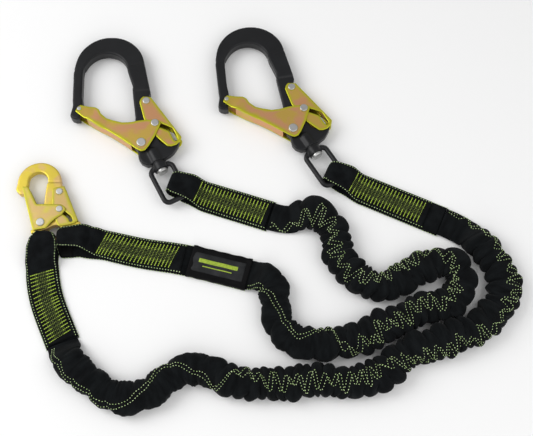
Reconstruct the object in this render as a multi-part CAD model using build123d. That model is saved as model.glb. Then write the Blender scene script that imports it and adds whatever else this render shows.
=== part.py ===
from build123d import *
import math
import os

os.makedirs("parts", exist_ok=True)

# A twin-leg shock absorbing lanyard, laid out flat on the floor. Millimetres, +Z up.
# Each hook is drawn in its own plane, with its gate pivot at (0, 0), its bow towards +Y
# and z = 0 half way through its thickness, and is then turned and moved to where it lies.

# Where the three hooks lie: gate pivot x, y, and turn about Z in degrees
SCAFFOLD_PLACES = ((-134.2, 51.4, 27.6), (89.4, 74.9, 31.8))
SNAP_PLACE = (-272.2, -73.0, 13.2)

# Scaffold hook: half thicknesses of the layers, from the middle plane outwards
SPINE_HALF = 6.0
BOW_HALF = 8.4
LEVER_IN = 6.3
LEVER_OUT = 8.3
GATE_IN = 8.7
GATE_OUT = 10.7
HEAD_OUT = 13.2

# Scaffold hook: bow and pivots
BOW_BORE_CENTRE = (3.0, 135.0)
BOW_BORE_R = 32.5
LOCK_PIVOT = (36.0, 61.0)
GUIDE_PIN = (31.5, 20.0)
TIP_PIN = (-55.0, 92.0)
GATE_RIVET_R = 4.0
LOCK_RIVET_R = 2.5
GUIDE_PIN_R = 3.0
TIP_PIN_R = 2.0
TIP_NOTCH_R = 2.7
LOCK_POCKET_R = 5.1
LOCK_POCKET_FLOOR = 3.9
BASE_R = 11.5
GATE_OPENING = 35.0
LOCK_SWING = 10.0
TURNING_GAP = 0.05
TIP_NOTCH_REACH = 10.0

# Scaffold hook: rivet head radii and heights, then each spring's turn radius, wire radius,
# height, leg length and leg angle
GATE_HEAD_R = 7.0
LOCK_HEAD_R = 5.5
LOCK_HEAD_OUT = 10.3
GUIDE_HEAD_R = 6.0
GUIDE_HEAD_OUT = 12.9
TIP_HEAD_R = 3.2
TIP_HEAD_OUT = 11.9
GATE_SPRING = (6.4, 0.9, 7.35, 20.0, 20.0)
LOCK_SPRING = (4.0, 0.6, 4.9, 1.5, 180.0)
COIL_SWEEP = 320.0
PIN_PLAY = 0.25
THROUGH = 20.0

# Swivel and eye of a scaffold hook, about the axis x = SWIVEL_X
SWIVEL_X = 9.0
SWIVEL_R = 5.0
SWIVEL_TAIL = -24.0
BOSS_R = 10.0
BOSS_LENGTH = 17.0
BASE_END = -37.0
WASHER = 1.0
WASHER_R = 9.5
END_GAP = 0.15
COLLAR_R = 10.5
COLLAR_LENGTH = 12.0
HEAD_R = 8.0
HEAD_HEIGHT = 5.0
EYE_ROD_R = 3.75
EYE_HALF_WIDTH = 17.25
EYE_TOP = -44.0
EYE_BOTTOM = -102.0
EYE_CORNER_R = 8.0

# Snap hook: half thicknesses, pivots and eye
SNAP_BODY_HALF = 5.0
SNAP_LEVER_IN = 5.3
SNAP_LEVER_OUT = 6.9
SNAP_GATE_IN = 7.2
SNAP_GATE_OUT = 8.8
SNAP_HEAD_OUT = 10.6
SNAP_BORE_CENTRE = (5.5, 66.5)
SNAP_BORE_R = 14.2
SNAP_LOCK_PIVOT = (33.3, 42.0)
SNAP_GUIDE_PIN = (29.4, 14.1)
SNAP_GATE_RIVET_R = 3.5
SNAP_LOCK_RIVET_R = 2.25
SNAP_PIN_R = 2.25
SNAP_GATE_OPENING = 30.0
SNAP_LOCK_SWING = 12.0
SNAP_ROD_R = 4.2
SNAP_BASE_R = 10.5
SNAP_POCKET_R = 4.6
SNAP_POCKET_FLOOR = 3.0
SNAP_GATE_HEAD_R = 6.0
SNAP_LOCK_HEAD_R = 5.0
SNAP_LOCK_HEAD_OUT = 8.6
SNAP_GUIDE_HEAD_R = 4.8
SNAP_GUIDE_HEAD_OUT = 10.4
SNAP_GATE_SPRING = (5.4, 0.8, 6.1, 14.0, 20.0)
SNAP_LOCK_SPRING = (3.5, 0.55, 3.9, 1.4, 180.0)

# Webbing straps at the ends of the legs
WEBBING_WIDTH = 45.0
WEBBING_SHEET = 2.6
STRAP_HEIGHT = 6.5
PAD_SHEET = 0.9
PAD_GAP = 0.2
PAD_REACH = 18.0
TACK_ROWS = 26
TACK_WIDTH = 30.0
TACK_BAR = 1.5
TACK_HEIGHT = 0.5
LABEL_LIFT = 1.3
SLEEVE_WALL = 1.0
SLEEVE_SIDE = 1.4
SLEEVE_PLAY = 0.2
SLEEVE_SHORT = 6.0
LABEL_MARGIN = 8.0
LABEL_WIDTH = 34.0
LABEL_SHEET = 0.8

# Each strap's line over the floor, from its fold
LEG_1_SNAP_LINE = ((-251.8, -85.7), (-190, -103), (-62, -125), (25, -147))
LEG_1_HOOK_LINE = ((-90.5, -9.5), (56.5, -58))
LEG_2_SNAP_LINE = ((-264.9, -86.7), (-265, -142), (-229, -246))
LEG_2_HOOK_LINE = ((139.0, 8.0), (303, -66))

# Each folded end: half width at the fold, where it is full width, height of the top sheet's
# underside, how far the top sheet stays level, and where the two sheets meet
LEG_1_SNAP_LOOP = (6.5, 60.0, 18.2, 42.0, 62.0)
LEG_2_SNAP_LOOP = (8.0, 50.0, 18.2, 24.0, 50.0)
HOOK_LOOP = (12.0, 45.0, 19.0, 38.0, 50.0)

# Gathered stretch jackets over the folded absorber webbing
JACKET_WIDTH = 40.0
JACKET_HEIGHT = 28.0
CORE_WIDTH = 16.0
CORE_HEIGHT = 6.0
CORE_GAP = 1.0
ARC_SHARE = 0.45

# Routes of the two jackets over the floor, from the snap hook's strap to the scaffold hook's strap
LEG_1_ROUTE = (
    (25, -147), (45, -152), (61, -167), (67, -191), (68, -218), (82, -240), (108, -250),
    (142, -247), (181, -241), (215, -224), (245, -207), (271, -199), (296, -195), (320, -181),
    (329, -154), (315, -129), (287, -122), (260, -134), (236, -156), (210, -168), (184, -162),
    (166, -143), (152, -121), (149, -97), (143, -74), (124, -60), (100, -59), (77.4, -64.9),
    (56.5, -58),
)
LEG_2_ROUTE = (
    (-229, -246), (-222.4, -265), (-206, -285), (-183, -300), (-164, -316), (-140, -323),
    (-114, -319), (-93, -307), (-75, -291), (-51, -282), (-25, -287), (1, -299), (31, -305),
    (66, -303), (106, -299), (148, -301), (182, -301), (206, -291), (223, -274), (245, -260),
    (271, -250), (300, -242), (328, -233), (354, -218), (373, -196), (382, -169), (378, -142),
    (364, -119), (350, -101), (332, -79), (303, -66),
)


def plate(points, low, high, corner=0.0):
    """A flat plate between two heights, with its corners rounded where corner isn't 0."""
    if corner:
        outline = FilletPolyline(*points, radius=corner, close=True)
    else:
        outline = Polyline(*points, close=True)
    return Pos(0, 0, low) * extrude(make_face(outline), high - low)


def disc(centre, radius, low, high):
    """A round post between two heights."""
    return Pos(centre[0], centre[1], (low + high) / 2) * Cylinder(radius, high - low)


def both_sides(shape):
    """A shape and its mirror image in the middle plane."""
    return shape + mirror(shape, about=Plane.XY)


def turned(point, degrees, centre=(0.0, 0.0)):
    """A point turned about a centre, anticlockwise."""
    a = math.radians(degrees)
    x = point[0] - centre[0]
    y = point[1] - centre[1]
    return (
        centre[0] + x * math.cos(a) - y * math.sin(a),
        centre[1] + x * math.sin(a) + y * math.cos(a),
    )


def pin_track(pin, opening, pivot, swing, steps=5):
    """The guide pin's places, as the lock lever sees them while the gate opens."""
    places = []
    for step in range(steps + 1):
        part = step / steps
        moved = turned(pin, -opening * part)
        places.append(turned(moved, swing * part, pivot))
    return places


def track_slot(places, radius, half):
    """A slot through a plate, as wide as the pin and its clearance."""
    slot = disc(places[0], radius, -half, half)
    for start, end in zip(places, places[1:]):
        dx = end[0] - start[0]
        dy = end[1] - start[1]
        length = math.hypot(dx, dy)
        middle = Pos((start[0] + end[0]) / 2, (start[1] + end[1]) / 2)
        bar = middle * Rot(0, 0, math.degrees(math.atan2(dy, dx))) * Box(length, 2 * radius, 2 * half)
        slot = slot + bar + disc(end, radius, -half, half)
    return slot


def rivet(centre, radius, head_radius, grip, outside, crown=0.8):
    """A shank with a low domed head on each side."""
    shank = disc(centre, radius, -grip, grip)
    head = disc(centre, head_radius, grip + TURNING_GAP, outside)
    head = fillet(head.edges().group_by(Axis.Z)[-1], crown * (outside - grip - TURNING_GAP))
    neck = disc(centre, radius, grip - TURNING_GAP, grip + 2 * TURNING_GAP)
    return shank + both_sides(head + neck)


def coil(centre, turn_radius, wire_radius, height, leg, leg_angle):
    """One turn of a torsion spring with a leg that leaves it at an angle."""
    turn = CenterArc((0, 0), turn_radius, -COIL_SWEEP, COIL_SWEEP)
    path = turn + Line((turn_radius, 0), (turn_radius, leg))
    wire = sweep(Plane(origin=path @ 0, z_dir=path % 0) * Circle(wire_radius), path=path)
    return Pos(centre[0], centre[1], height) * Rot(0, 0, leg_angle) * wire


# ---------------------------------------------------------------- scaffold hook


def scaffold_outline():
    """The forged hook from the nose round the bow, down the spine and round the base."""
    inner_left = Polyline((-66, 77), (-60, 74), (-48, 104), (-26, 150))
    inner_top = ThreePointArc((-26, 150), (3, 167.5), (35, 139))
    spine_left = Polyline(
        (35, 139), (29, 94), (25, 87), (21, 76), (10, 44), (-2, 22), (-10, 6), (-10, -8),
        (-14, -20), (-13, -28), (-8, -35), (-2, BASE_END), (22, BASE_END), (34, -35),
        (46, -28), (52, -21), (50, -18), (30, -15), (26, -10), (26, 28), (33, 40), (41, 50),
        (41.5, 66), (48, 72), (62, 125),
    )
    outer_top = ThreePointArc((62, 125), (9, 192.5), (-36, 162))
    nose = Polyline((-36, 162), (-58, 115), (-66, 100), (-71, 88), (-70, 82), (-66, 77))
    return make_face(inner_left + inner_top + spine_left + outer_top + nose)


def scaffold_body():
    """Forged body: a thick bow and nose, a thinner spine under the plates, and a swivel boss."""
    outline = scaffold_outline()
    spine = Pos(0, 0, -SPINE_HALF) * extrude(outline, 2 * SPINE_HALF)
    bow = Pos(0, 0, -BOW_HALF) * extrude(outline, 2 * BOW_HALF)
    thick = plate(
        ((-90, 60), (0, 60), (0, 100), (20, 92), (25, 87), (62, 72), (90, 72), (90, 220), (-90, 220)),
        -BOW_HALF - 1, BOW_HALF + 1,
    )
    body = spine + (bow & thick)
    body = body - disc(BOW_BORE_CENTRE, BOW_BORE_R, -THROUGH, THROUGH)
    boss = Pos(SWIVEL_X, BASE_END + BOSS_LENGTH / 2) * Rot(90, 0, 0) * Cylinder(BOSS_R, BOSS_LENGTH)
    body = body + boss + Pos(SWIVEL_X, BASE_END + BOSS_LENGTH) * Sphere(BOSS_R)
    body = body + disc((0, 0), BASE_R, -SPINE_HALF, SPINE_HALF)
    body = body - Pos(SWIVEL_X, BASE_END) * Rot(90, 0, 0) * Cylinder(SWIVEL_R, 2 * (SWIVEL_TAIL - BASE_END))
    body = body - disc((0, 0), GATE_RIVET_R, -THROUGH, THROUGH)
    body = body - disc(LOCK_PIVOT, LOCK_RIVET_R, -THROUGH, THROUGH)
    body = body - disc(LOCK_PIVOT, LOCK_POCKET_R, LOCK_POCKET_FLOOR, THROUGH)
    leave = math.degrees(math.atan2(TIP_PIN[1], TIP_PIN[0])) - 90
    notch = Pos(TIP_NOTCH_REACH / 2, 0) * Box(TIP_NOTCH_REACH, 2 * TIP_NOTCH_R, 2 * THROUGH)
    return body - Pos(*TIP_PIN) * (Cylinder(TIP_NOTCH_R, 2 * THROUGH) + Rot(0, 0, leave) * notch)


def scaffold_gate():
    """Folded plate gate: two cheeks joined by a web along the outside."""
    cheek = plate(
        (
            (-62, 91), (-56, 96), (-51, 97), (-36, 84), (-33, 78), (-33, 70), (-29, 60), (-21, 52),
            (-11, 43), (0, 38), (11, 35), (22, 31), (34, 25), (39, 20), (39, 15), (22, 0), (8, -10),
            (0, -14), (-6, -13), (-11, -6), (-24, 20), (-42, 52), (-50, 68), (-56, 76),
        ),
        GATE_IN, GATE_OUT, 1.5,
    )
    web = plate(
        ((-15.5, 3), (-24, 20), (-42, 52), (-50, 68), (-52.3, 71.2), (-50.6, 72.3), (-48.3, 69),
         (-40.3, 53), (-22.3, 21), (-13.8, 4)),
        -GATE_OUT, GATE_OUT,
    )
    gate = both_sides(cheek) + web
    gate = gate - disc((0, 0), GATE_RIVET_R + TURNING_GAP, -THROUGH, THROUGH)
    gate = gate - disc(GUIDE_PIN, GUIDE_PIN_R, -THROUGH, THROUGH)
    return gate - disc(TIP_PIN, TIP_PIN_R, -THROUGH, THROUGH)


def scaffold_lever():
    """Lock lever: two slotted cheeks joined by the web that the hand squeezes."""
    cheek = plate(
        (
            (26, 64), (30, 68), (35, 70), (40, 67), (45, 63), (57, -18), (53, -23), (44, -26),
            (37, -25), (32, -22), (28, -12), (24, 0), (20, 35),
        ),
        LEVER_IN, LEVER_OUT, 1.5,
    )
    web = plate(((46.8, 51), (56.1, -12), (54.1, -12.3), (44.8, 50.7)), -LEVER_OUT, LEVER_OUT)
    lever = both_sides(cheek) + web
    track = pin_track(GUIDE_PIN, GATE_OPENING, LOCK_PIVOT, LOCK_SWING)
    track.append((47.8, -17.0))
    lever = lever - track_slot(track, GUIDE_PIN_R + PIN_PLAY, THROUGH)
    return lever - disc(LOCK_PIVOT, LOCK_RIVET_R + TURNING_GAP, -THROUGH, THROUGH)


def swivel_rivet():
    """Rivet that the eye turns on, along the hook's own axis, with its domed head in the eye."""
    head_top = BASE_END - 2 * END_GAP - WASHER - COLLAR_LENGTH - 2 * END_GAP
    length = SWIVEL_TAIL - head_top
    shank = Pos(0, head_top + length / 2) * Rot(90, 0, 0) * Cylinder(SWIVEL_R, length)
    head = Rot(90, 0, 0) * Cylinder(HEAD_R, HEAD_HEIGHT)
    head = fillet(head.edges().group_by(Axis.Y)[0], 0.7 * HEAD_HEIGHT)
    return Pos(SWIVEL_X, 0) * (shank + Pos(0, head_top - HEAD_HEIGHT / 2) * head)


def swivel_washer():
    """Thin washer between the hook's base and the eye's collar."""
    ring = Rot(90, 0, 0) * (Cylinder(WASHER_R, WASHER) - Cylinder(SWIVEL_R + TURNING_GAP, 2 * WASHER))
    return Pos(SWIVEL_X, BASE_END - END_GAP - WASHER / 2) * ring


def swivel_eye():
    """Forged eye: a round bar bent to a long ring, with the collar that turns on the rivet."""
    left = SWIVEL_X - EYE_HALF_WIDTH
    right = SWIVEL_X + EYE_HALF_WIDTH
    ring = FilletPolyline(
        (SWIVEL_X - 1, EYE_TOP), (left, EYE_TOP), (left, EYE_BOTTOM), (right, EYE_BOTTOM),
        (right, EYE_TOP), (SWIVEL_X + 1, EYE_TOP), radius=EYE_CORNER_R,
    )
    bar = sweep(Plane(origin=ring @ 0, z_dir=ring % 0) * Circle(EYE_ROD_R), path=ring)
    top = BASE_END - 2 * END_GAP - WASHER - 0.05
    collar = Pos(SWIVEL_X, top - COLLAR_LENGTH / 2) * Rot(90, 0, 0) * Cylinder(COLLAR_R, COLLAR_LENGTH)
    bore = Pos(SWIVEL_X, top - COLLAR_LENGTH / 2) * Rot(90, 0, 0)
    return bar + collar - bore * Cylinder(SWIVEL_R + TURNING_GAP, 3 * COLLAR_LENGTH)


def scaffold_hook():
    """The pieces of one scaffold hook, by name."""
    return {
        "body": scaffold_body(),
        "gate": scaffold_gate(),
        "lock_lever": scaffold_lever(),
        "gate_rivet": rivet((0, 0), GATE_RIVET_R, GATE_HEAD_R, GATE_OUT, HEAD_OUT),
        "lock_rivet": rivet(LOCK_PIVOT, LOCK_RIVET_R, LOCK_HEAD_R, LEVER_OUT, LOCK_HEAD_OUT),
        "guide_pin": rivet(GUIDE_PIN, GUIDE_PIN_R, GUIDE_HEAD_R, GATE_OUT, GUIDE_HEAD_OUT),
        "tip_rivet": rivet(TIP_PIN, TIP_PIN_R, TIP_HEAD_R, GATE_OUT, TIP_HEAD_OUT),
        "gate_spring": coil((0, 0), *GATE_SPRING),
        "lock_spring": coil(LOCK_PIVOT, *LOCK_SPRING),
        "swivel_rivet": swivel_rivet(),
        "swivel_washer": swivel_washer(),
        "swivel_eye": swivel_eye(),
    }


# ---------------------------------------------------------------- snap hook


def snap_body():
    """Forged snap hook: nose, bow, spine, base and the eye that both legs are sewn into."""
    x, y = SNAP_BORE_CENTRE
    bore_left = (x - SNAP_BORE_R, y)
    bore_right = (x + SNAP_BORE_R, y)
    nose = Polyline((-15, 49.5), (-10.7, 61.8), bore_left)
    inner_top = ThreePointArc(bore_left, (x, y + SNAP_BORE_R), bore_right)
    lower = Polyline(
        bore_right, (13.1, 45.9), (9, 30), (4, 22), (-7, 9), (-9, 2), (-9, -6), (-16, -7.5),
        (-16, -12.5), (-7, -13), (3, -11.4), (16, -7.5), (24, -8.5), (28, -14.6), (54.8, -14.6),
        (54.8, -9.6), (28, -9.6), (24, -4), (24, 26), (30, 32), (38, 38), (38.4, 52),
        (38.5, 64.6),
    )
    outer_top = ThreePointArc((38.5, 64.6), (7, 95.2), (-24.1, 70.1))
    tip = Polyline((-24.1, 70.1), (-27.7, 60.6), (-27.2, 57), (-23, 51), (-15, 49.5))
    outline = make_face(nose + inner_top + lower + outer_top + tip)
    body = Pos(0, 0, -SNAP_BODY_HALF) * extrude(outline, 2 * SNAP_BODY_HALF)
    body = body + disc((0, 0), SNAP_BASE_R, -SNAP_BODY_HALF, SNAP_BODY_HALF)
    bail = FilletPolyline((-11, -9), (-11, -29.5), (50, -29.5), (50, -12), radius=6.0)
    body = body + sweep(Plane(origin=bail @ 0, z_dir=bail % 0) * Circle(SNAP_ROD_R), path=bail)
    body = body - disc(SNAP_BORE_CENTRE, SNAP_BORE_R, -THROUGH, THROUGH)
    body = body - disc((0, 0), SNAP_GATE_RIVET_R, -THROUGH, THROUGH)
    body = body - disc(SNAP_LOCK_PIVOT, SNAP_LOCK_RIVET_R, -THROUGH, THROUGH)
    return body - disc(SNAP_LOCK_PIVOT, SNAP_POCKET_R, SNAP_POCKET_FLOOR, THROUGH)


def snap_gate():
    """Folded plate gate of the snap hook."""
    cheek = plate(
        (
            (-18.1, 60.8), (-9.1, 58.7), (-6, 47.6), (-1.6, 29.4), (32.7, 20.7), (37.7, 15.7),
            (38.8, 11.7), (31.4, 4.6), (21.7, 0.6), (14.2, -4), (6.4, -10.9), (-10.5, -10),
            (-12.6, -8.9),
        ),
        SNAP_GATE_IN, SNAP_GATE_OUT, 1.0,
    )
    web = plate(((-12.8, -6), (-11.0, -6), (-14.6, 40), (-16.4, 40)), -SNAP_GATE_OUT, SNAP_GATE_OUT)
    gate = both_sides(cheek) + web
    gate = gate - disc((0, 0), SNAP_GATE_RIVET_R + TURNING_GAP, -THROUGH, THROUGH)
    return gate - disc(SNAP_GUIDE_PIN, SNAP_PIN_R, -THROUGH, THROUGH)


def snap_lever():
    """Lock lever of the snap hook."""
    cheek = plate(
        (
            (24.1, 47.9), (28.4, 49.5), (41.7, 49), (52.5, -8.3), (46.8, -12), (35.3, -12.4),
            (24.1, -11.1), (21.3, -3.5), (20.2, 24.5),
        ),
        SNAP_LEVER_IN, SNAP_LEVER_OUT, 1.5,
    )
    web = plate(((43.4, 40), (51.9, -5), (50.1, -5.3), (41.6, 39.7)), -SNAP_LEVER_OUT, SNAP_LEVER_OUT)
    lever = both_sides(cheek) + web
    track = pin_track(SNAP_GUIDE_PIN, SNAP_GATE_OPENING, SNAP_LOCK_PIVOT, SNAP_LOCK_SWING)
    track.append((42.6, -6.0))
    lever = lever - track_slot(track, SNAP_PIN_R + PIN_PLAY, THROUGH)
    return lever - disc(SNAP_LOCK_PIVOT, SNAP_LOCK_RIVET_R + TURNING_GAP, -THROUGH, THROUGH)


def snap_hook():
    """The pieces of the snap hook, by name."""
    return {
        "body": snap_body(),
        "gate": snap_gate(),
        "lock_lever": snap_lever(),
        "gate_rivet": rivet(
            (0, 0), SNAP_GATE_RIVET_R, SNAP_GATE_HEAD_R, SNAP_GATE_OUT, SNAP_HEAD_OUT
        ),
        "lock_rivet": rivet(
            SNAP_LOCK_PIVOT, SNAP_LOCK_RIVET_R, SNAP_LOCK_HEAD_R, SNAP_LEVER_OUT, SNAP_LOCK_HEAD_OUT
        ),
        "guide_pin": rivet(
            SNAP_GUIDE_PIN, SNAP_PIN_R, SNAP_GUIDE_HEAD_R, SNAP_GATE_OUT, SNAP_GUIDE_HEAD_OUT
        ),
        "gate_spring": coil((0, 0), *SNAP_GATE_SPRING),
        "lock_spring": coil(SNAP_LOCK_PIVOT, *SNAP_LOCK_SPRING),
    }


# ---------------------------------------------------------------- webbing


def headings(points):
    """The heading of each leg of a strap's line, in degrees."""
    return [
        math.degrees(math.atan2(b[1] - a[1], b[0] - a[0]))
        for a, b in zip(points, points[1:])
    ]


def strap_loop(length, fold_half, flare, top, reach, slope):
    """The folded end of a strap, from its fold at x = 0, open where the eye passes through it."""
    outer = (
        (0, 3), (3, 0), (length, 0), (length, STRAP_HEIGHT), (slope, STRAP_HEIGHT),
        (reach, top + WEBBING_SHEET), (4, top + WEBBING_SHEET), (0, top - 1.5),
    )
    inside = (
        (WEBBING_SHEET, 4.2), (4.2, WEBBING_SHEET), (slope - 8, WEBBING_SHEET), (reach - 2, top),
        (4.6, top), (WEBBING_SHEET, top - 2),
    )
    band = side_prism(outer, WEBBING_WIDTH) - side_prism(inside, 2 * WEBBING_WIDTH)
    return band & loop_plan(length, fold_half, flare)


def side_prism(points, width):
    """A prism across the strap from its side view, x along the strap and y up."""
    face = make_face(Polyline(*points, close=True))
    return Rot(90, 0, 0) * Pos(0, 0, -width / 2) * extrude(face, width)


def loop_plan(length, fold_half, flare):
    """Plan of a folded end: narrow where it is bunched in the eye, then the webbing's width."""
    half = WEBBING_WIDTH / 2
    points = (
        (-1, -fold_half), (2, -fold_half), (flare, -half), (length, -half), (length, half),
        (flare, half), (2, fold_half), (-1, fold_half),
    )
    return plate(points, -1, 40)


def wear_pad(fold_half, flare, top):
    """Thin wear sleeve inside a folded end, where the webbing bears on the eye."""
    low = WEBBING_SHEET + PAD_GAP
    high = top - PAD_GAP
    reach = low + PAD_REACH
    outer = (
        (low, low + 1.6), (low + 1.6, low), (reach, low), (reach, high), (low + 1.6, high), (low, high - 2),
    )
    near = low + PAD_SHEET
    inside = (
        (near, near + 1.2), (near + 1.2, near), (reach + 1, near), (reach + 1, high - PAD_SHEET),
        (near + 1.2, high - PAD_SHEET), (near, high - PAD_SHEET - 1.2),
    )
    sleeve = side_prism(outer, WEBBING_WIDTH) - side_prism(inside, 2 * WEBBING_WIDTH)
    return sleeve & loop_plan(2 * flare, fold_half - 1.5, 1.3 * flare)


def strap(points, fold_half, flare, top, reach, slope):
    """A leg's flat end: the folded loop along its first line, then doubled webbing to its end."""
    ways = headings(points)
    start = Pos(points[0][0], points[0][1]) * Rot(0, 0, ways[0])
    length = math.dist(points[0], points[1])
    whole = start * strap_loop(length, fold_half, flare, top, reach, slope)
    for (a, b), way in list(zip(zip(points, points[1:]), ways))[1:]:
        length = math.dist(a, b)
        slab = Pos(length / 2, 0, STRAP_HEIGHT / 2) * Box(length, WEBBING_WIDTH, STRAP_HEIGHT)
        whole = whole + Pos(a[0], a[1]) * Rot(0, 0, way) * slab
        whole = whole + disc(a, WEBBING_WIDTH / 2, 0, STRAP_HEIGHT)
    return whole, start * wear_pad(fold_half, flare, top)


def bar_tack(start, end):
    """Rows of load-bearing stitches that stand proud of the strap."""
    way = math.degrees(math.atan2(end[1] - start[1], end[0] - start[0]))
    length = math.dist(start, end)
    row = Box(TACK_BAR, TACK_WIDTH, TACK_HEIGHT)
    rows = []
    for number in range(TACK_ROWS):
        along = (number + 0.5) * length / TACK_ROWS
        place = Pos(start[0], start[1], STRAP_HEIGHT + TACK_HEIGHT / 2) * Rot(0, 0, way) * Pos(along, 0)
        rows.append(place * row)
    return Compound(children=rows)


def along_line(a, b, distance):
    """The point at a distance from a towards b."""
    share = distance / math.dist(a, b)
    return (a[0] + (b[0] - a[0]) * share, a[1] + (b[1] - a[1]) * share)


# ---------------------------------------------------------------- jackets


def corner_radii(points):
    """The largest smooth arc at each corner of a route."""
    radii = []
    for a, b, c in zip(points, points[1:], points[2:]):
        before = Vector(*b) - Vector(*a)
        after = Vector(*c) - Vector(*b)
        turn = math.radians(before.get_angle(after))
        radii.append(ARC_SHARE * min(before.length, after.length) / math.tan(turn / 2))
    return radii


def tube_path(route):
    """A route's straight runs and tangent arcs, half the jacket's height above the floor."""
    points = [(x, y, JACKET_HEIGHT / 2) for x, y in route]
    radii = corner_radii(points)
    print("radii", [round(r) for r in radii])
    return FilletPolyline(*points, radius=radii)


def swept(path, section):
    """A section kept upright along a path that lies level."""
    ahead = path % 0
    plane = Plane(origin=path @ 0, x_dir=(-ahead.Y, ahead.X, 0), z_dir=ahead)
    return sweep(plane * section, path=path)


def jacket_and_core(route):
    """The gathered tubular webbing and the absorber webbing that lies folded inside it."""
    path = tube_path(route)
    bore = Rectangle(CORE_WIDTH + 2 * CORE_GAP, CORE_HEIGHT + 2 * CORE_GAP)
    outside = Ellipse(JACKET_WIDTH / 2, JACKET_HEIGHT / 2)
    jacket = swept(path, outside - bore)
    core = swept(path, Rectangle(CORE_WIDTH, CORE_HEIGHT))
    section = math.pi * JACKET_WIDTH * JACKET_HEIGHT / 4 - bore.area
    share = jacket.volume / (section * path.length)
    print("path", round(path.length), "volume over section x length", round(share, 4))
    return jacket, core


# ---------------------------------------------------------------- the whole lanyard


def save(name, shape):
    """Write one named piece."""
    export_step(shape, f"parts/{name}.step")


def lay(place, thickness_half):
    """Where a hook lies on the floor."""
    return Pos(place[0], place[1], thickness_half) * Rot(0, 0, place[2])


def save_hooks():
    """The two scaffold hooks and the snap hook."""
    for number, place in enumerate(SCAFFOLD_PLACES, 1):
        for name, shape in scaffold_hook().items():
            save(f"scaffold_hook_{number}_{name}", lay(place, HEAD_OUT) * shape)
    for name, shape in snap_hook().items():
        save(f"snap_hook_{name}", lay(SNAP_PLACE, SNAP_HEAD_OUT) * shape)


def label_seat(a, b):
    """The middle of a strap's last stretch, where the label's sleeve sits, and its length."""
    way = math.degrees(math.atan2(b[1] - a[1], b[0] - a[0]))
    length = math.dist(a, b)
    return Pos(a[0], a[1]) * Rot(0, 0, way) * Pos(length / 2 + 2, 0, 0), length


def save_label(seat, length):
    """The sleeve round the strap and the label in its face."""
    sleeve_length = length - SLEEVE_SHORT
    tall = STRAP_HEIGHT + SLEEVE_WALL + SLEEVE_PLAY + 0.1
    floor = LABEL_LIFT - SLEEVE_PLAY
    ceiling = STRAP_HEIGHT + SLEEVE_PLAY
    sleeve = Pos(0, 0, tall / 2) * Box(sleeve_length, WEBBING_WIDTH + 2 * SLEEVE_SIDE, tall)
    hollow = Box(2 * length, WEBBING_WIDTH + 2 * SLEEVE_PLAY, ceiling - floor)
    sleeve = sleeve - Pos(0, 0, (floor + ceiling) / 2) * hollow
    face = Box(sleeve_length - 2 * LABEL_MARGIN, LABEL_WIDTH, LABEL_SHEET)
    save("label_sleeve", seat * sleeve)
    save("label", seat * Pos(0, 0, tall + LABEL_SHEET / 2) * face)


def save_strap(number, end, line, shape, tack, label=False):
    """One sewn end of a leg: its doubled webbing, its wear pad and its stitching."""
    webbing, pad = strap(line, *shape)
    if label:
        seat, length = label_seat(*line[-2:])
        webbing = webbing - seat * Box(length + 8, 60, 2 * LABEL_LIFT)
        save_label(seat, length)
    save(f"leg_{number}_{end}_end_webbing", webbing)
    save(f"leg_{number}_{end}_wear_pad", pad)
    save(f"leg_{number}_{end}_bartack", bar_tack(*tack))


def save_jacket(number, route):
    """A leg's gathered jacket and the absorber webbing in it."""
    jacket, core = jacket_and_core(route)
    save(f"leg_{number}_stretch_jacket", jacket)
    save(f"leg_{number}_absorber_core", core)


def tack_span(a, b, start, short):
    """Start and end of the stitching on a strap's straight stretch from a to b."""
    return along_line(a, b, start), along_line(a, b, math.dist(a, b) - short)


save_hooks()
save_strap(1, "snap", LEG_1_SNAP_LINE, LEG_1_SNAP_LOOP, tack_span(*LEG_1_SNAP_LINE[1:3], 2.0, 4.0), True)
save_strap(1, "hook", LEG_1_HOOK_LINE, HOOK_LOOP, tack_span(*LEG_1_HOOK_LINE, HOOK_LOOP[4] + 1.5, 7.0))
save_strap(2, "snap", LEG_2_SNAP_LINE, LEG_2_SNAP_LOOP, tack_span(*LEG_2_SNAP_LINE[1:3], 2.0, 7.0))
save_strap(2, "hook", LEG_2_HOOK_LINE, HOOK_LOOP, tack_span(*LEG_2_HOOK_LINE, HOOK_LOOP[4] + 1.5, 7.0))
save_jacket(1, LEG_1_ROUTE)
save_jacket(2, LEG_2_ROUTE)
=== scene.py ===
"""Looks of a twin-leg shock absorbing lanyard that lies on a pale floor.

Lengths are in metres, or in millimetres where MM turns them into metres, and +Z is up.
"""

from __future__ import annotations

import logging
import math
import random
from dataclasses import dataclass, field
from enum import Enum
from typing import Callable, Iterable, Sequence

import bmesh
import bpy
from mathutils import Matrix, Vector
from mathutils.kdtree import KDTree

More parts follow.
